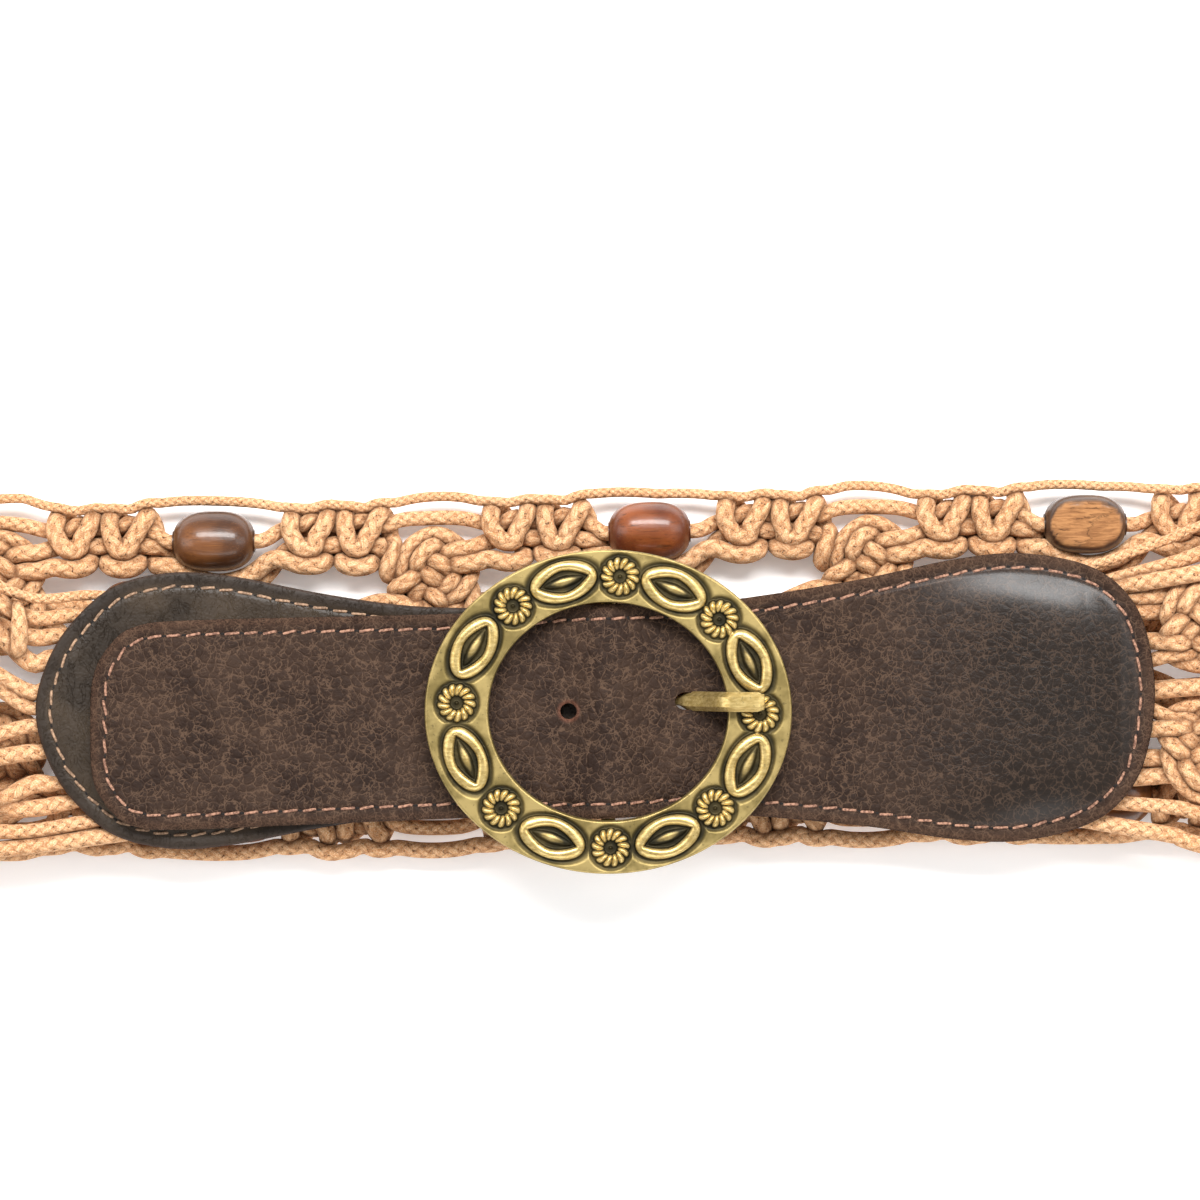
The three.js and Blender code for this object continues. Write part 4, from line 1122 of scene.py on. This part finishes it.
def leather_sheet(outline, x, under, top):
    """Points and faces of a closed sheet between two surfaces, and where each point is."""
    low, high = edge_heights(outline, x)
    middle, half = (low + high) / 2, (high - low) / 2
    shares = 1 - np.array(FROM_EDGE) / FROM_EDGE[-1]
    across = np.concatenate([-shares, shares[-2::-1]])
    grid_x = np.repeat(x[:, None], len(across), axis=1)
    grid_y = middle[:, None] + half[:, None] * across[None]
    flat_x, flat_y = grid_x.ravel(), grid_y.ravel()
    distance = edge_distance(outline, flat_x, flat_y)
    z_top = top(flat_x, flat_y, distance)
    z_under = under(flat_x, flat_y, distance)
    upper = np.stack([flat_x, flat_y, z_top], 1)
    lower = np.stack([flat_x, flat_y, z_under], 1)
    rows, columns = grid_x.shape
    faces = grid_faces(rows, columns, flip=True)
    count = len(upper)
    faces += grid_faces(rows, columns, start=count)
    rim = [(i, 0) for i in range(rows)] + [(rows - 1, j) for j in range(1, columns)]
    rim += [(i, columns - 1) for i in range(rows - 2, -1, -1)]
    rim += [(0, j) for j in range(columns - 2, 0, -1)]
    rim = [i * columns + j for i, j in rim]
    for a, b in zip(rim, rim[1:] + rim[:1]):
        faces.append([a, b, b + count, a + count])
    return np.concatenate([upper, lower]), faces, np.concatenate([distance, distance])


def soft_edge(distance, radius=0.7):
    share = np.clip(1 - distance / radius, 0, 1)
    return radius * (1 - np.sqrt(1 - share**2))


STITCH_INSET = 3.05


def stitch_groove(distance):
    return 0.28 * np.exp(-(((distance - STITCH_INSET) / 0.55) ** 2))


print("the strap's underside at the bar is at", round(float(strap_under(np.array(BAR_X))), 2))

# %% [markdown]
# ## The two leathers
# The tab is smooth leather, dark olive brown and a little creased. The strap is rougher:
# its dark surface has crackled into small pebbles with paler lines between them, it is
# torn red round the spare hole, and towards its wide end it is darker and shines under a
# clear coat. The crackle is a cell pattern at two small scales, bent by a noise so that
# no cell looks drawn.


# %% Leather finishes
def warped(f, place, scale, reach, detail=2.0):
    """The place, pushed about by a noise, so that a pattern on it looks grown."""
    push = f.node("TexNoise", None, {"Vector": place, "Scale": scale, "Detail": detail}).out(1)
    settings = {"operation": "MULTIPLY_ADD"}
    return f.node("VectorMath", settings, {0: push, 1: (reach,) * 3, 2: place}).out(0)


PRONG_HOLE_X = BAR_X + HOLE_PITCH * 0.663
SPARE_HOLE = tuple((np.array([PRONG_HOLE_X - HOLE_PITCH, RING_Y]) + SHIFT[:2]) * MM)


def strap_finish():
    f = Finish("crackled_leather")
    place = f.place()
    edge = f.attribute("edge")
    bent = warped(f, warped(f, place, 220.0, 0.0028), 1400.0, 0.0007)
    big = f.cells(bent, 500.0, "DISTANCE_TO_EDGE")
    small = f.cells(bent, 1100.0, "DISTANCE_TO_EDGE")
    patches = f.noise(place, 110.0, 3.0, 0.6)
    vein_noise = f.noise(place, 520.0, 2.0, 0.6)
    grit = f.noise(place, 2600.0, 3.0, 0.7)
    crack = 1 - big.step(0.0, 0.07)
    fine_crack = 1 - small.step(0.0, 0.10)
    parts = f.node("SeparateXYZ", None, {0: place})
    across, up = parts.out(0), parts.out(1)
    gloss = across.step(0.045, 0.095) * edge.step(0.002, 0.005)
    raw = 1 - edge.step(0.0006, 0.0026)
    hole_x, hole_y = SPARE_HOLE
    from_hole = ((across - hole_x) ** 2.0 + (up - hole_y) ** 2.0) ** 0.5
    torn = 1 - (from_hole + (grit - 0.5) * 0.0016).step(0.0018, 0.0028)
    lines = crack * vein_noise.step(0.30, 0.55)
    lines = lines.larger(fine_crack * vein_noise.step(0.45, 0.62))
    body = f.blend(patches.step(0.3, 0.7), colour(38, 26, 20), colour(56, 41, 32))
    body = f.blend(gloss * 0.8, body, colour(24, 18, 13))
    body = f.blend(lines * (0.62 - gloss * 0.3), body, colour(100, 78, 62))
    body = f.blend(grit.step(0.58, 0.8) * 0.4, body, colour(14, 9, 8))
    fuzz = grit.step(0.38, 0.66)
    body = f.blend(raw * fuzz * 0.6, body, colour(92, 68, 54))
    body = f.blend(torn * (0.2 + fuzz * 0.5), body, colour(128, 80, 62))
    pebble = big.step(0.0, 0.30) * 0.65 + small.step(0.0, 0.24) * 0.25
    height = (pebble + grit * 0.25) * (1 - gloss * 0.6) + grit * raw * 0.7
    return f.finish(
        Base_Color=body,
        Roughness=0.6 - gloss * 0.22 + raw * 0.3 + lines * 0.1,
        Normal=f.bump(height, 0.00024, 0.85),
        Specular_IOR_Level=0.12,
        Coat_Weight=gloss * 0.45,
        Coat_Roughness=0.24,
    )


def tab_finish():
    f = Finish("smooth_leather")
    place = f.place()
    edge = f.attribute("edge")
    wander = f.stretch(place, (1.0, 0.6, 1.0))
    crease = f.noise(wander, 330.0, 6.0, 0.7, 1.4)
    creases = 1 - (crease - 0.5).size().step(0.0, 0.022)
    patches = f.noise(place, 60.0, 3.0, 0.6)
    pores = f.cells(place, 1700.0)
    grain = f.noise(place, 1500.0, 3.0, 0.6)
    band = 1 - edge.step(0.0016, 0.0028)
    raw = 1 - edge.step(0.0, 0.0007)
    body = f.blend(patches.step(0.3, 0.7), colour(40, 31, 22), colour(62, 50, 38))
    veins = creases * patches.step(0.35, 0.6)
    body = f.blend(veins * 0.4, body, colour(112, 96, 76))
    body = f.blend(band * 0.6, body, colour(34, 24, 17))
    body = f.blend(raw * 0.7, body, colour(64, 44, 33))
    height = pores * 0.2 + (1 - creases) * 0.4 + patches + grain * 0.15
    return f.finish(
        Base_Color=body,
        Roughness=0.36 + patches * 0.14 + band * 0.12,
        Normal=f.bump(height, 0.00028, 0.8),
        Specular_IOR_Level=0.3,
    )


crackled = strap_finish()
smooth_leather = tab_finish()
print("leather finishes:", crackled.name, smooth_leather.name)

# %% The strap
ripple = np.random.default_rng(21)
WAVE_RANGES = [(0.05, 0.22), (-0.2, 0.2), (0, 6), (0.03, 0.1)]  # two slopes, start, height
waves = [[ripple.uniform(low, high) for low, high in WAVE_RANGES] for _ in range(9)]


def strap_top(x, y, distance):
    away = np.abs(x - BAR_X)
    hill = (STRAP_OVER_BAR - STRAP_OVER_TAB) * 1.04 * np.exp(-((away / 7.2) ** 2))
    z = strap_under(x) - strap_hump(away) + hill + 2 * PLY
    swell = np.exp(-(((x - 91) / 24) ** 2)) * (1 - np.exp(-((distance / 7.5) ** 2)))
    z = z + 2.9 * swell
    pocket = ease(x, STRAP_END_X - POCKET - 7, STRAP_END_X - POCKET)
    z = z + 2.6 * pocket
    middle = RING_Y + STRAP_SKEW * (x - BAR_X)
    inside = 1 - ease(away, 14, 24)
    z = z - inside * 0.5 * ((y - middle) / 21.5) ** 2
    for a, b, c, d in waves:
        z = z + d * np.sin(a * x + b * y + c)
    return z - soft_edge(distance, 0.9) - stitch_groove(distance)


def strap_bottom(x, y, distance):
    return strap_under(x) + 0.05 + soft_edge(distance, 0.4)


def punch(piece, x, y, half_x, half_y, low, high, sides=24):
    """Cuts an upright hole through a sheet."""
    angle = np.arange(sides) / sides * 2 * math.pi
    ring = np.stack([x + half_x * np.cos(angle), y + half_y * np.sin(angle)], 1)
    levels = np.repeat([low, high], sides)
    points = np.column_stack([np.concatenate([ring, ring]), levels])
    faces = [[i, (i + 1) % sides, (i + 1) % sides + sides, i + sides] for i in range(sides)]
    faces += [list(range(sides))[::-1], [i + sides for i in range(sides)]]
    mesh = bpy.data.meshes.new("punch")
    mesh.from_pydata(((points + SHIFT) * MM).tolist(), [], faces)
    tool = bpy.data.objects.new("punch", mesh)
    bpy.context.scene.collection.objects.link(tool)
    cut = piece.modifiers.new("punch", "BOOLEAN")
    cut.operation = "DIFFERENCE"
    cut.solver = "EXACT"
    cut.object = tool
    bpy.context.view_layer.update()
    seen = piece.evaluated_get(bpy.context.evaluated_depsgraph_get())
    done = bpy.data.meshes.new_from_object(seen)
    piece.modifiers.clear()
    old = piece.data
    piece.data = done
    bpy.data.meshes.remove(old)
    bpy.data.objects.remove(tool)
    return piece


strap_x = sheet_columns(
    strap_outline[:, 0].min(), strap_outline[:, 0].max(), True, True, step=0.6
)
points, faces, distance = leather_sheet(strap_outline, strap_x, strap_bottom, strap_top)
strap = make_piece("strap_leather", points, faces, crackled, ["strap"])
add_numbers(strap, "edge", distance * MM)
PRONG_Y = RING_Y + PRONG_SIDE
punch(strap, PRONG_HOLE_X - HOLE_PITCH, RING_Y, 1.75, 1.7, 5, 40)
punch(strap, PRONG_HOLE_X, PRONG_Y, 2.3, 1.9, 5, 40)
print("strap:", len(strap.data.polygons), "faces after punching")

# %% The tab
TAB_SINK = 1.82


def tab_top(x, y, distance):
    sunk = 1 - ease(x, TAB_END_X + POCKET - 1, TAB_END_X + POCKET + 3)
    z = TAB_UNDER + 2 * PLY + sunk * (2.6 - TAB_SINK)
    away = np.clip((BAR_X - x) / (2.4 * EYE), 0, 1)
    z = z + (19.9 - 16.3) * (1 - ease(away, 0.2, 1.0))
    for a, b, c, d in waves[:6]:
        z = z + 0.8 * d * np.sin(1.3 * a * x + b * y + c)
    return z - soft_edge(distance, 0.8) - stitch_groove(distance)


def tab_bottom(x, y, distance):
    sunk = 1 - ease(x, TAB_END_X + POCKET, TAB_END_X + POCKET + 2)
    return TAB_UNDER - TAB_SINK * sunk + 0.05 + soft_edge(distance, 0.4)


tab_x = sheet_columns(tab_outline[:, 0].min(), BAR_X + 3.2, True, False, step=0.7)
points, faces, distance = leather_sheet(tab_outline, tab_x, tab_bottom, tab_top)
tab = make_piece("tab_leather", points, faces, smooth_leather, ["left_tab"])
add_numbers(tab, "edge", distance * MM)

# %% [markdown]
# ## Stitches
# A row of thread runs round each sheet, three millimetres inside the edge. Each stitch is
# a short bowed thread that dives into a hole at both ends. They are real little threads,
# because a painted line would lose the shadows that show in the photograph.
# Each hole is a small near-black cone on the surface: painted shade for its dark inside.


# %% Thread
def thread_finish(name, dark, light):
    f = Finish(name)
    strands = f.noise(f.place(), 1800.0, 2.0)
    shade = f.blend(strands.step(0.35, 0.65), dark, light)
    return f.finish(Base_Color=shade, Roughness=0.7, Normal=f.bump(strands, 0.0001, 0.6))


def hole_shade_finish():
    f = Finish("painted_stitch_hole_shade")
    # Painted shade: near-black for the dark inside of a stitch hole.
    shade_noise = f.noise(f.place(), 900.0)
    black = f.blend(shade_noise, colour(14, 10, 9), colour(26, 18, 15))
    return f.finish(Base_Color=black, Roughness=0.9)


strap_thread = thread_finish("reddish_thread", colour(104, 70, 54), colour(172, 128, 104))
tab_thread = thread_finish("tan_thread", colour(112, 86, 66), colour(172, 138, 110))
painted_hole_shade = hole_shade_finish()
print("threads:", strap_thread.name, tab_thread.name)


def inset_route(outline, inset):
    along = np.gradient(outline, axis=0)
    along /= np.linalg.norm(along, axis=1)[:, None]
    left = np.stack([-along[:, 1], along[:, 0]], 1)
    inner = outline + left * inset
    keep = edge_distance(outline, inner[:, 0], inner[:, 1]) > inset * 0.97
    return inner[keep]


STITCH_PITCH, STITCH_LENGTH, THREAD_RADIUS = 4.05, 2.75, 0.31


def stitches(name, outline, top, thread, end_x=math.inf):
    line = smooth_route(inset_route(outline, STITCH_INSET), 0.25)
    step = np.linalg.norm(np.diff(line, axis=0), axis=1)
    way = np.concatenate([[0], np.cumsum(step)])
    rng = np.random.default_rng(len(name))
    points, faces, hole_shades, hole_faces = [], [], [], []
    start = hole_start = 0
    for at in np.arange(STITCH_PITCH / 2, way[-1] - STITCH_PITCH / 2, STITCH_PITCH):
        at = at + rng.normal(0, 0.08)
        span = np.linspace(-0.5, 0.5, 7) * (STITCH_LENGTH + rng.normal(0, 0.12))
        x = np.interp(at + span, way, line[:, 0])
        y = np.interp(at + span, way, line[:, 1])
        if x[3] >= end_x:
            continue
        tilt = rng.normal(0.12, 0.06) * span
        along = np.array([x[-1] - x[0], y[-1] - y[0]])
        along /= np.linalg.norm(along)
        x, y = x - along[1] * tilt, y + along[0] * tilt
        inset = edge_distance(outline, x, y)
        bow = 0.34 * np.cos(np.linspace(-1, 1, 7) * math.pi / 2) ** 0.5 - 0.12
        z = top(x, y, inset) + bow
        middle = np.stack([x, y, z], 1)
        skin, skin_faces = tube(middle, THREAD_RADIUS, 6)
        points.append(skin)
        faces += [[i + start for i in face] for face in skin_faces]
        start += len(skin)
        # Painted shade: a small near-black cone between stitches stands for the inside of the
        # hole.
        gap = at + STITCH_PITCH / 2
        hx, hy = np.interp(gap, way, line[:, 0]), np.interp(gap, way, line[:, 1])
        hz = float(top(np.array([hx]), np.array([hy]), np.array([STITCH_INSET]))[0])
        ring = np.arange(8) / 8 * 2 * math.pi
        spot = [hx + 0.5 * np.cos(ring), hy + 0.5 * np.sin(ring), np.full(8, hz + 0.02)]
        spot = np.stack(spot, 1)
        low = np.array([[hx, hy, hz - 0.5]])
        cap = np.array([[hx, hy, hz + 0.1]])
        hole_shades.append(np.concatenate([spot, low, cap]))
        for i in range(8):
            j = (i + 1) % 8
            hole_faces.append([hole_start + i, hole_start + j, hole_start + 9])
            hole_faces.append([hole_start + j, hole_start + i, hole_start + 8])
        hole_start += 10
    make_piece(name + "_thread", np.concatenate(points), faces, thread)
    make_piece(name + "_holes", np.concatenate(hole_shades), hole_faces, painted_hole_shade)


stitches("strap", strap_outline, strap_top, strap_thread)
stitches("tab", tab_outline, tab_top, tab_thread, BAR_X - 12)

# %% [markdown]
# ## The buckle
# The ring is cast brass, dark in its recess and polished where it is rubbed. Its face is
# a height over a grid of angle and width: two flat borders, a sunk field between them,
# eight oval cups with a pointed boss, and eight flowers of swirling petals. A height
# grid shows every petal and also gives the dark patina, which is deepest where the
# height is lowest.

# %% The ring's face
RING_STEPS, RING_ROWS = 1100, 66
OVAL_AT = [109, 61.8, 19.6, -21, -64.5, -114, -161.6, 154.5]
FLOWER_AT = [85, 39.8, -0.7, -42, -89, -138, 176.6, 132]
OVAL_LENGTH, OVAL_WIDTH, FLOWER = 14.6, 8.8, 8.3
RELIEF, RECESS = 1.3, 0.5


def ring_point(angle, share):
    half_x = lerp(OPENING_LENGTH, RING_LENGTH, share) / 2
    half_y = lerp(OPENING_WIDTH, RING_WIDTH, share) / 2
    return BAR_X + half_x * np.cos(angle), RING_Y + half_y * np.sin(angle)


def ring_angle(degrees):
    """The angle of the ring's grid that is seen at this direction from its middle."""
    half_x = (OPENING_LENGTH + RING_LENGTH) / 4
    half_y = (OPENING_WIDTH + RING_WIDTH) / 4
    seen = math.radians(degrees)
    return math.atan2(math.sin(seen) / half_y, math.cos(seen) / half_x)


def local(angle, x, y):
    mx, my = ring_point(angle, 0.5)
    ax, ay = ring_point(angle + 0.01, 0.5)
    turn = math.atan2(ay - my, ax - mx)
    dx, dy = x - mx, y - my
    return dx * math.cos(turn) + dy * math.sin(turn), dy * math.cos(turn) - dx * math.sin(turn)


def oval_relief(u, v):
    """The height of an oval cup, and the way out from its edge."""
    long_half, wide_half = OVAL_LENGTH / 2, OVAL_WIDTH / 2
    e = np.hypot(u / long_half, v / wide_half)
    au, av = np.abs(u), np.abs(v)
    lens = 2.15 * np.clip(1 - (au / 5.2) ** 1.7, 0, 1)
    from_lens = np.hypot(np.clip(au - 5.2, 0, None), np.clip(av - lens, 0, None))
    from_edge = np.clip(1 - e, 0, None) * wide_half
    p = from_lens / (from_lens + from_edge + 1e-6)
    rim = np.sqrt(np.clip(4 * p * (1 - p), 0, 1)) * (e < 1)
    boss = np.clip(1 - (au / 4.3) ** 1.6 - (av / 1.2) ** 1.6, 0, 1) ** 0.5 * 0.6
    inside = (e < 1) & (from_lens == 0)
    return RELIEF * np.where(inside, boss, rim), (e - 1) * wide_half


def flower_relief(u, v):
    rho = np.hypot(u, v) / (FLOWER / 2)
    phi = np.arctan2(v, u)
    petal = np.abs(np.cos(6.5 * phi + 2.8 * rho)) ** 0.55
    reach = 1 - 0.10 * (1 - petal)
    p = np.clip((rho - 0.32) / (reach - 0.32), 0, 1)
    rise = np.clip(4 * p * (1 - p), 0, 1) ** 0.45
    dot = 0.4 * ease(1 - rho, 0.88, 0.97)
    return RELIEF * np.maximum(rise * (0.1 + 0.9 * petal), dot), (rho - 1) * FLOWER / 2


angle = np.arange(RING_STEPS) / RING_STEPS * 2 * math.pi
share = np.linspace(0, 1, RING_ROWS)
grid_angle, grid_share = np.meshgrid(angle, share, indexing="ij")
ring_x, ring_y = ring_point(grid_angle, grid_share)
ornament = np.zeros_like(ring_x)
from_ornament = np.full_like(ring_x, 9.0)
shapes = [(oval_relief, degrees) for degrees in OVAL_AT]
shapes += [(flower_relief, degrees) for degrees in FLOWER_AT]
for shape, degrees in shapes:
    raised, outward = shape(*local(ring_angle(degrees), ring_x, ring_y))
    ornament = np.maximum(ornament, raised)
    from_ornament = np.minimum(from_ornament, outward)
field = 1 - ease(from_ornament, 0.25, 1.05)
relief = RECESS * (1 - field)
relief -= 0.42 * ease(np.abs(grid_share - 0.5), 0.465, 0.5) ** 2
height = np.maximum(relief, ornament)
print("the ring's relief is up to", round(float(height.max()), 2), "mm")


# %% Antique brass
def brass_finish():
    f = Finish("antique_brass")
    place = f.place()
    rise = f.attribute("rise")
    flat_part = f.attribute("border")
    cloud = f.noise(place, 170.0, 3.0, 0.6)
    scratch = f.noise(f.stretch(place, (0.3, 1.0, 1.0)), 1800.0, 2.0, 0.6)
    pits = f.noise(place, 1300.0, 2.0, 0.6).step(0.62, 0.72)
    rubbed = (rise + (cloud - 0.5) * 0.35).step(0.25, 0.8)
    dark = f.blend(cloud.step(0.3, 0.7), colour(34, 31, 19), colour(72, 62, 36))
    olive = f.blend(cloud.step(0.35, 0.65), colour(122, 106, 62), colour(164, 144, 92))
    bright = f.blend(scratch.step(0.3, 0.7), colour(186, 158, 94), colour(222, 196, 132))
    body = f.blend(flat_part, dark, olive)
    body = f.blend(rubbed, body, bright)
    body = f.blend(pits * 0.45, body, colour(58, 52, 32))
    rough = 0.46 - rubbed * 0.16 + cloud * 0.1
    normal = f.bump(scratch * 0.2 + cloud, 0.00012, 0.5)
    return f.finish(Base_Color=body, Metallic=0.8, Roughness=rough, Normal=normal)


brass = brass_finish()

# %% The ring with its bar
top = np.stack([ring_x, ring_y, FIELD_Z + height], 2)
wall_levels = [FIELD_Z - 0.25, RING_Z + 0.3, RING_Z]
outer_wall = [
    np.stack([ring_x[:, -1], ring_y[:, -1], np.full(RING_STEPS, z)], 1) for z in wall_levels
]
inner_wall = [
    np.stack([ring_x[:, 0], ring_y[:, 0], np.full(RING_STEPS, z)], 1)
    for z in reversed(wall_levels)
]
section = np.concatenate(
    [top, np.stack(outer_wall, 1), np.stack(inner_wall, 1)], axis=1
)
columns = section.shape[1]
faces = grid_faces(RING_STEPS, columns, wrap_rows=True, wrap_columns=True, flip=True)
ring_points = section.reshape(-1, 3)
rise = np.full((RING_STEPS, columns), 0.1)
border = np.ones((RING_STEPS, columns))
rise[:, :RING_ROWS] = np.clip((ornament - 0.3) / 0.75, 0, 1)
rim_line = np.exp(-(((np.abs(grid_share - 0.5) - 0.478) / 0.012) ** 2))
rise[:, :RING_ROWS] = np.maximum(rise[:, :RING_ROWS], 0.75 * rim_line)
border[:, :RING_ROWS] = 1 - field
BAR_Z = 16.6
bar_line = [(BAR_X, RING_Y + reach, BAR_Z) for reach in (-26.0, 0.0, 26.0)]
bar_points, bar_faces = tube(smooth_route(bar_line, 2.0), BAR / 2, 20)
parts, part_faces = [ring_points, bar_points], list(faces)
part_faces += [[i + len(ring_points) for i in face] for face in bar_faces]
start = len(ring_points) + len(bar_points)
for side in (-1, 1):
    near, far = RING_Y + side * 23.3, RING_Y + side * 27.4
    low, high = min(near, far), max(near, far)
    box_points = []
    for z, grow in ((14.8, -0.5), (15.3, 0), (RING_Z + 0.4, 0)):
        for x, y in ((-3, low), (3, low), (3, high), (-3, high)):
            middle_y = (low + high) / 2
            box_points.append(
                (BAR_X + x * (1 + grow / 3), middle_y + (y - middle_y) * (1 + grow / 3), z)
            )
    lug_faces = [[0, 3, 2, 1], [8, 9, 10, 11]]
    for level in (0, 4):
        for i in range(4):
            j = (i + 1) % 4
            lug_faces.append([level + i, level + j, level + j + 4, level + i + 4])
    parts.append(np.array(box_points))
    part_faces += [[i + start for i in face] for face in lug_faces]
    start += len(box_points)
buckle = make_piece(
    "cast_ring", np.concatenate(parts), part_faces, brass, ["buckle_frame"]
)
extra = start - len(ring_points)
add_numbers(buckle, "rise", np.concatenate([rise.ravel(), np.full(extra, 0.2)]))
add_numbers(buckle, "border", np.concatenate([border.ravel(), np.ones(extra)]))

# %% [markdown]
# ## The prong
# A cast bar with a flat top and bevelled sides, tapered where it comes up through the
# strap and blunt where it rests on the ring. Its section is carried along the route of
# the solid, so it passes the strap's hole where the solid does. Its long edges are
# marked sharp, so that the facets stay crisp on a smooth bar.


# %% The prong's shape
def prong_route():
    half = PRONG_HEIGHT / 2
    before, after = PRONG_HOLE_X - 3.5, PRONG_HOLE_X + 3.5
    rest = FIELD_Z + RELIEF + 0.3 + half

    def below(x):
        return (x, min(float(strap_under(np.array(x))) - half - 0.6, BAR_Z))

    ends = [(BAR_X + BAR / 2 + 0.3 + PLY * 0.7, BAR_Z)]
    ends += [below(lerp(BAR_X + EYE, before, 0.6)), below(before)]
    ends += [(after, float(strap_under(np.array(after))) + 2 * PLY + half + 0.6)]
    ends += [(BAR_X + OPENING_LENGTH / 2 - 0.3, rest - RELIEF / 4)]
    ends += [(BAR_X + lerp(OPENING_LENGTH / 2, PRONG_REACH, 0.5), rest)]
    ends += [(BAR_X + PRONG_REACH, rest)]
    return smooth_route(ends, 0.5)


route = prong_route()
way = np.linspace(0, 1, len(route))
tangent = np.gradient(route, axis=0)
tangent /= np.linalg.norm(tangent, axis=1)[:, None]
up = np.stack([-tangent[:, 1], tangent[:, 0]], 1)
emerge = ease(route[:, 0], PRONG_HOLE_X - 1.6, PRONG_HOLE_X + 1.0)
end = ease(route[:, 0], BAR_X + PRONG_REACH - 1.6, BAR_X + PRONG_REACH)
half_width = PRONG_WIDTH / 2 * (0.5 + 0.55 * emerge) * (1 - 0.22 * end)
half_height = PRONG_HEIGHT / 2 * (1 - 0.42 * end)
outline = [(-1, -0.6), (-0.8, -1), (0.8, -1), (1, -0.6)]
outline += [(1, 0.15), (0.52, 1), (-0.52, 1), (-1, 0.15)]
rings = []
for i, (x, z) in enumerate(route):
    ring = []
    for across, height_share in outline:
        lift = half_height[i] * height_share
        y = PRONG_Y + across * half_width[i]
        ring.append((x + up[i, 0] * lift, y, z + up[i, 1] * lift))
    rings.append(ring)
shank = np.array(rings).reshape(-1, 3)
faces = grid_faces(len(route), len(outline), wrap_columns=True, flip=True)
last = (len(route) - 1) * len(outline)
faces += [list(range(8)), [last + i for i in reversed(range(8))]]
turns = np.linspace(0, 2 * math.pi, 40, endpoint=False)
loop = []
for radius_share, wide in ((EYE, 0.8), (EYE, -0.8), (BAR / 2 + 0.3, -1), (BAR / 2 + 0.3, 1)):
    loop.append(
        np.stack(
            [
                BAR_X + radius_share * np.cos(turns),
                np.full(40, PRONG_Y + wide * PRONG_WIDTH / 2),
                BAR_Z + radius_share * np.sin(turns),
            ],
            1,
        )
    )
loop = np.stack(loop, 1)
faces += grid_faces(40, 4, wrap_rows=True, wrap_columns=True, flip=True, start=len(shank))
prong = make_piece(
    "cast_prong",
    np.concatenate([shank, loop.reshape(-1, 3)]),
    faces,
    brass,
    ["buckle_prong"],
)
ridges = len(route) * len(outline)
for edge in prong.data.edges:
    first, second = sorted(edge.vertices)
    if second >= ridges or second - first == len(outline) or first == 0 and second == 7:
        edge.use_edge_sharp = True
rub = np.tile([0.3, 0.3, 0.3, 0.3, 0.75, 0.95, 0.95, 0.75], len(route))
add_numbers(prong, "rise", np.concatenate([rub, np.full(160, 0.3)]))
add_numbers(prong, "border", np.ones(len(rub) + 160))

# %% [markdown]
# ## The surface and the lights
# The belt lies on a plain white surface under a bright, even sky, with one large soft
# source above its upper edge that gives the long highlights on the leather.


# %% Surface
def surface_finish():
    f = Finish("white_surface")
    tone = f.noise(f.place(), 6.0)
    # A faint glow lifts the shade that the belt casts, which the photograph hardly shows
    return f.finish(
        Base_Color=f.blend(tone, colour(250, 250, 250), colour(255, 255, 255)),
        Roughness=0.9,
        Emission_Color=(1.0, 1.0, 1.0, 1.0),
        Emission_Strength=0.16,
    )


HALF_FLOOR = 3.0
floor_mesh = bpy.data.meshes.new("floor")
corners = [(-1, -1), (1, -1), (1, 1), (-1, 1)]
floor_points = [(HALF_FLOOR * x, HALF_FLOOR * y, -0.0001) for x, y in corners]
floor_mesh.from_pydata(floor_points, [], [(0, 1, 2, 3)])
floor = bpy.data.objects.new("floor", floor_mesh)
bpy.context.scene.collection.objects.link(floor)
floor.data.materials.append(surface_finish())


# %% Lights
def soft_light(name, place, target, size, power):
    data = bpy.data.lights.new(name, "AREA")
    data.shape = "RECTANGLE"
    data.size, data.size_y = size
    data.energy = power
    light = bpy.data.objects.new(name, data)
    light.location = place
    aim = np.array(target) - np.array(place)
    light.rotation_euler = Vector(aim).to_track_quat("-Z", "Y").to_euler()
    bpy.context.scene.collection.objects.link(light)
    return light


soft_light("upper_window", (0.04, 0.66, 1.02), (0, 0, 0), (1.2, 0.34), 25)
soft_light("lower_fill", (0.1, -0.95, 0.75), (0, 0, 0), (1.4, 0.6), 6)
soft_light("left_fill", (-1.1, 0.1, 0.8), (0, 0, 0), (0.6, 1.0), 4)
soft_light("right_fill", (1.1, 0.2, 0.8), (0, 0, 0), (0.6, 1.0), 4)

world = bpy.data.worlds.new("bright_sky")
bpy.context.scene.world = world
world.use_nodes = True
background = world.node_tree.nodes["Background"]
background.inputs[0].default_value = (1.0, 1.0, 1.0, 1.0)
background.inputs[1].default_value = 0.42
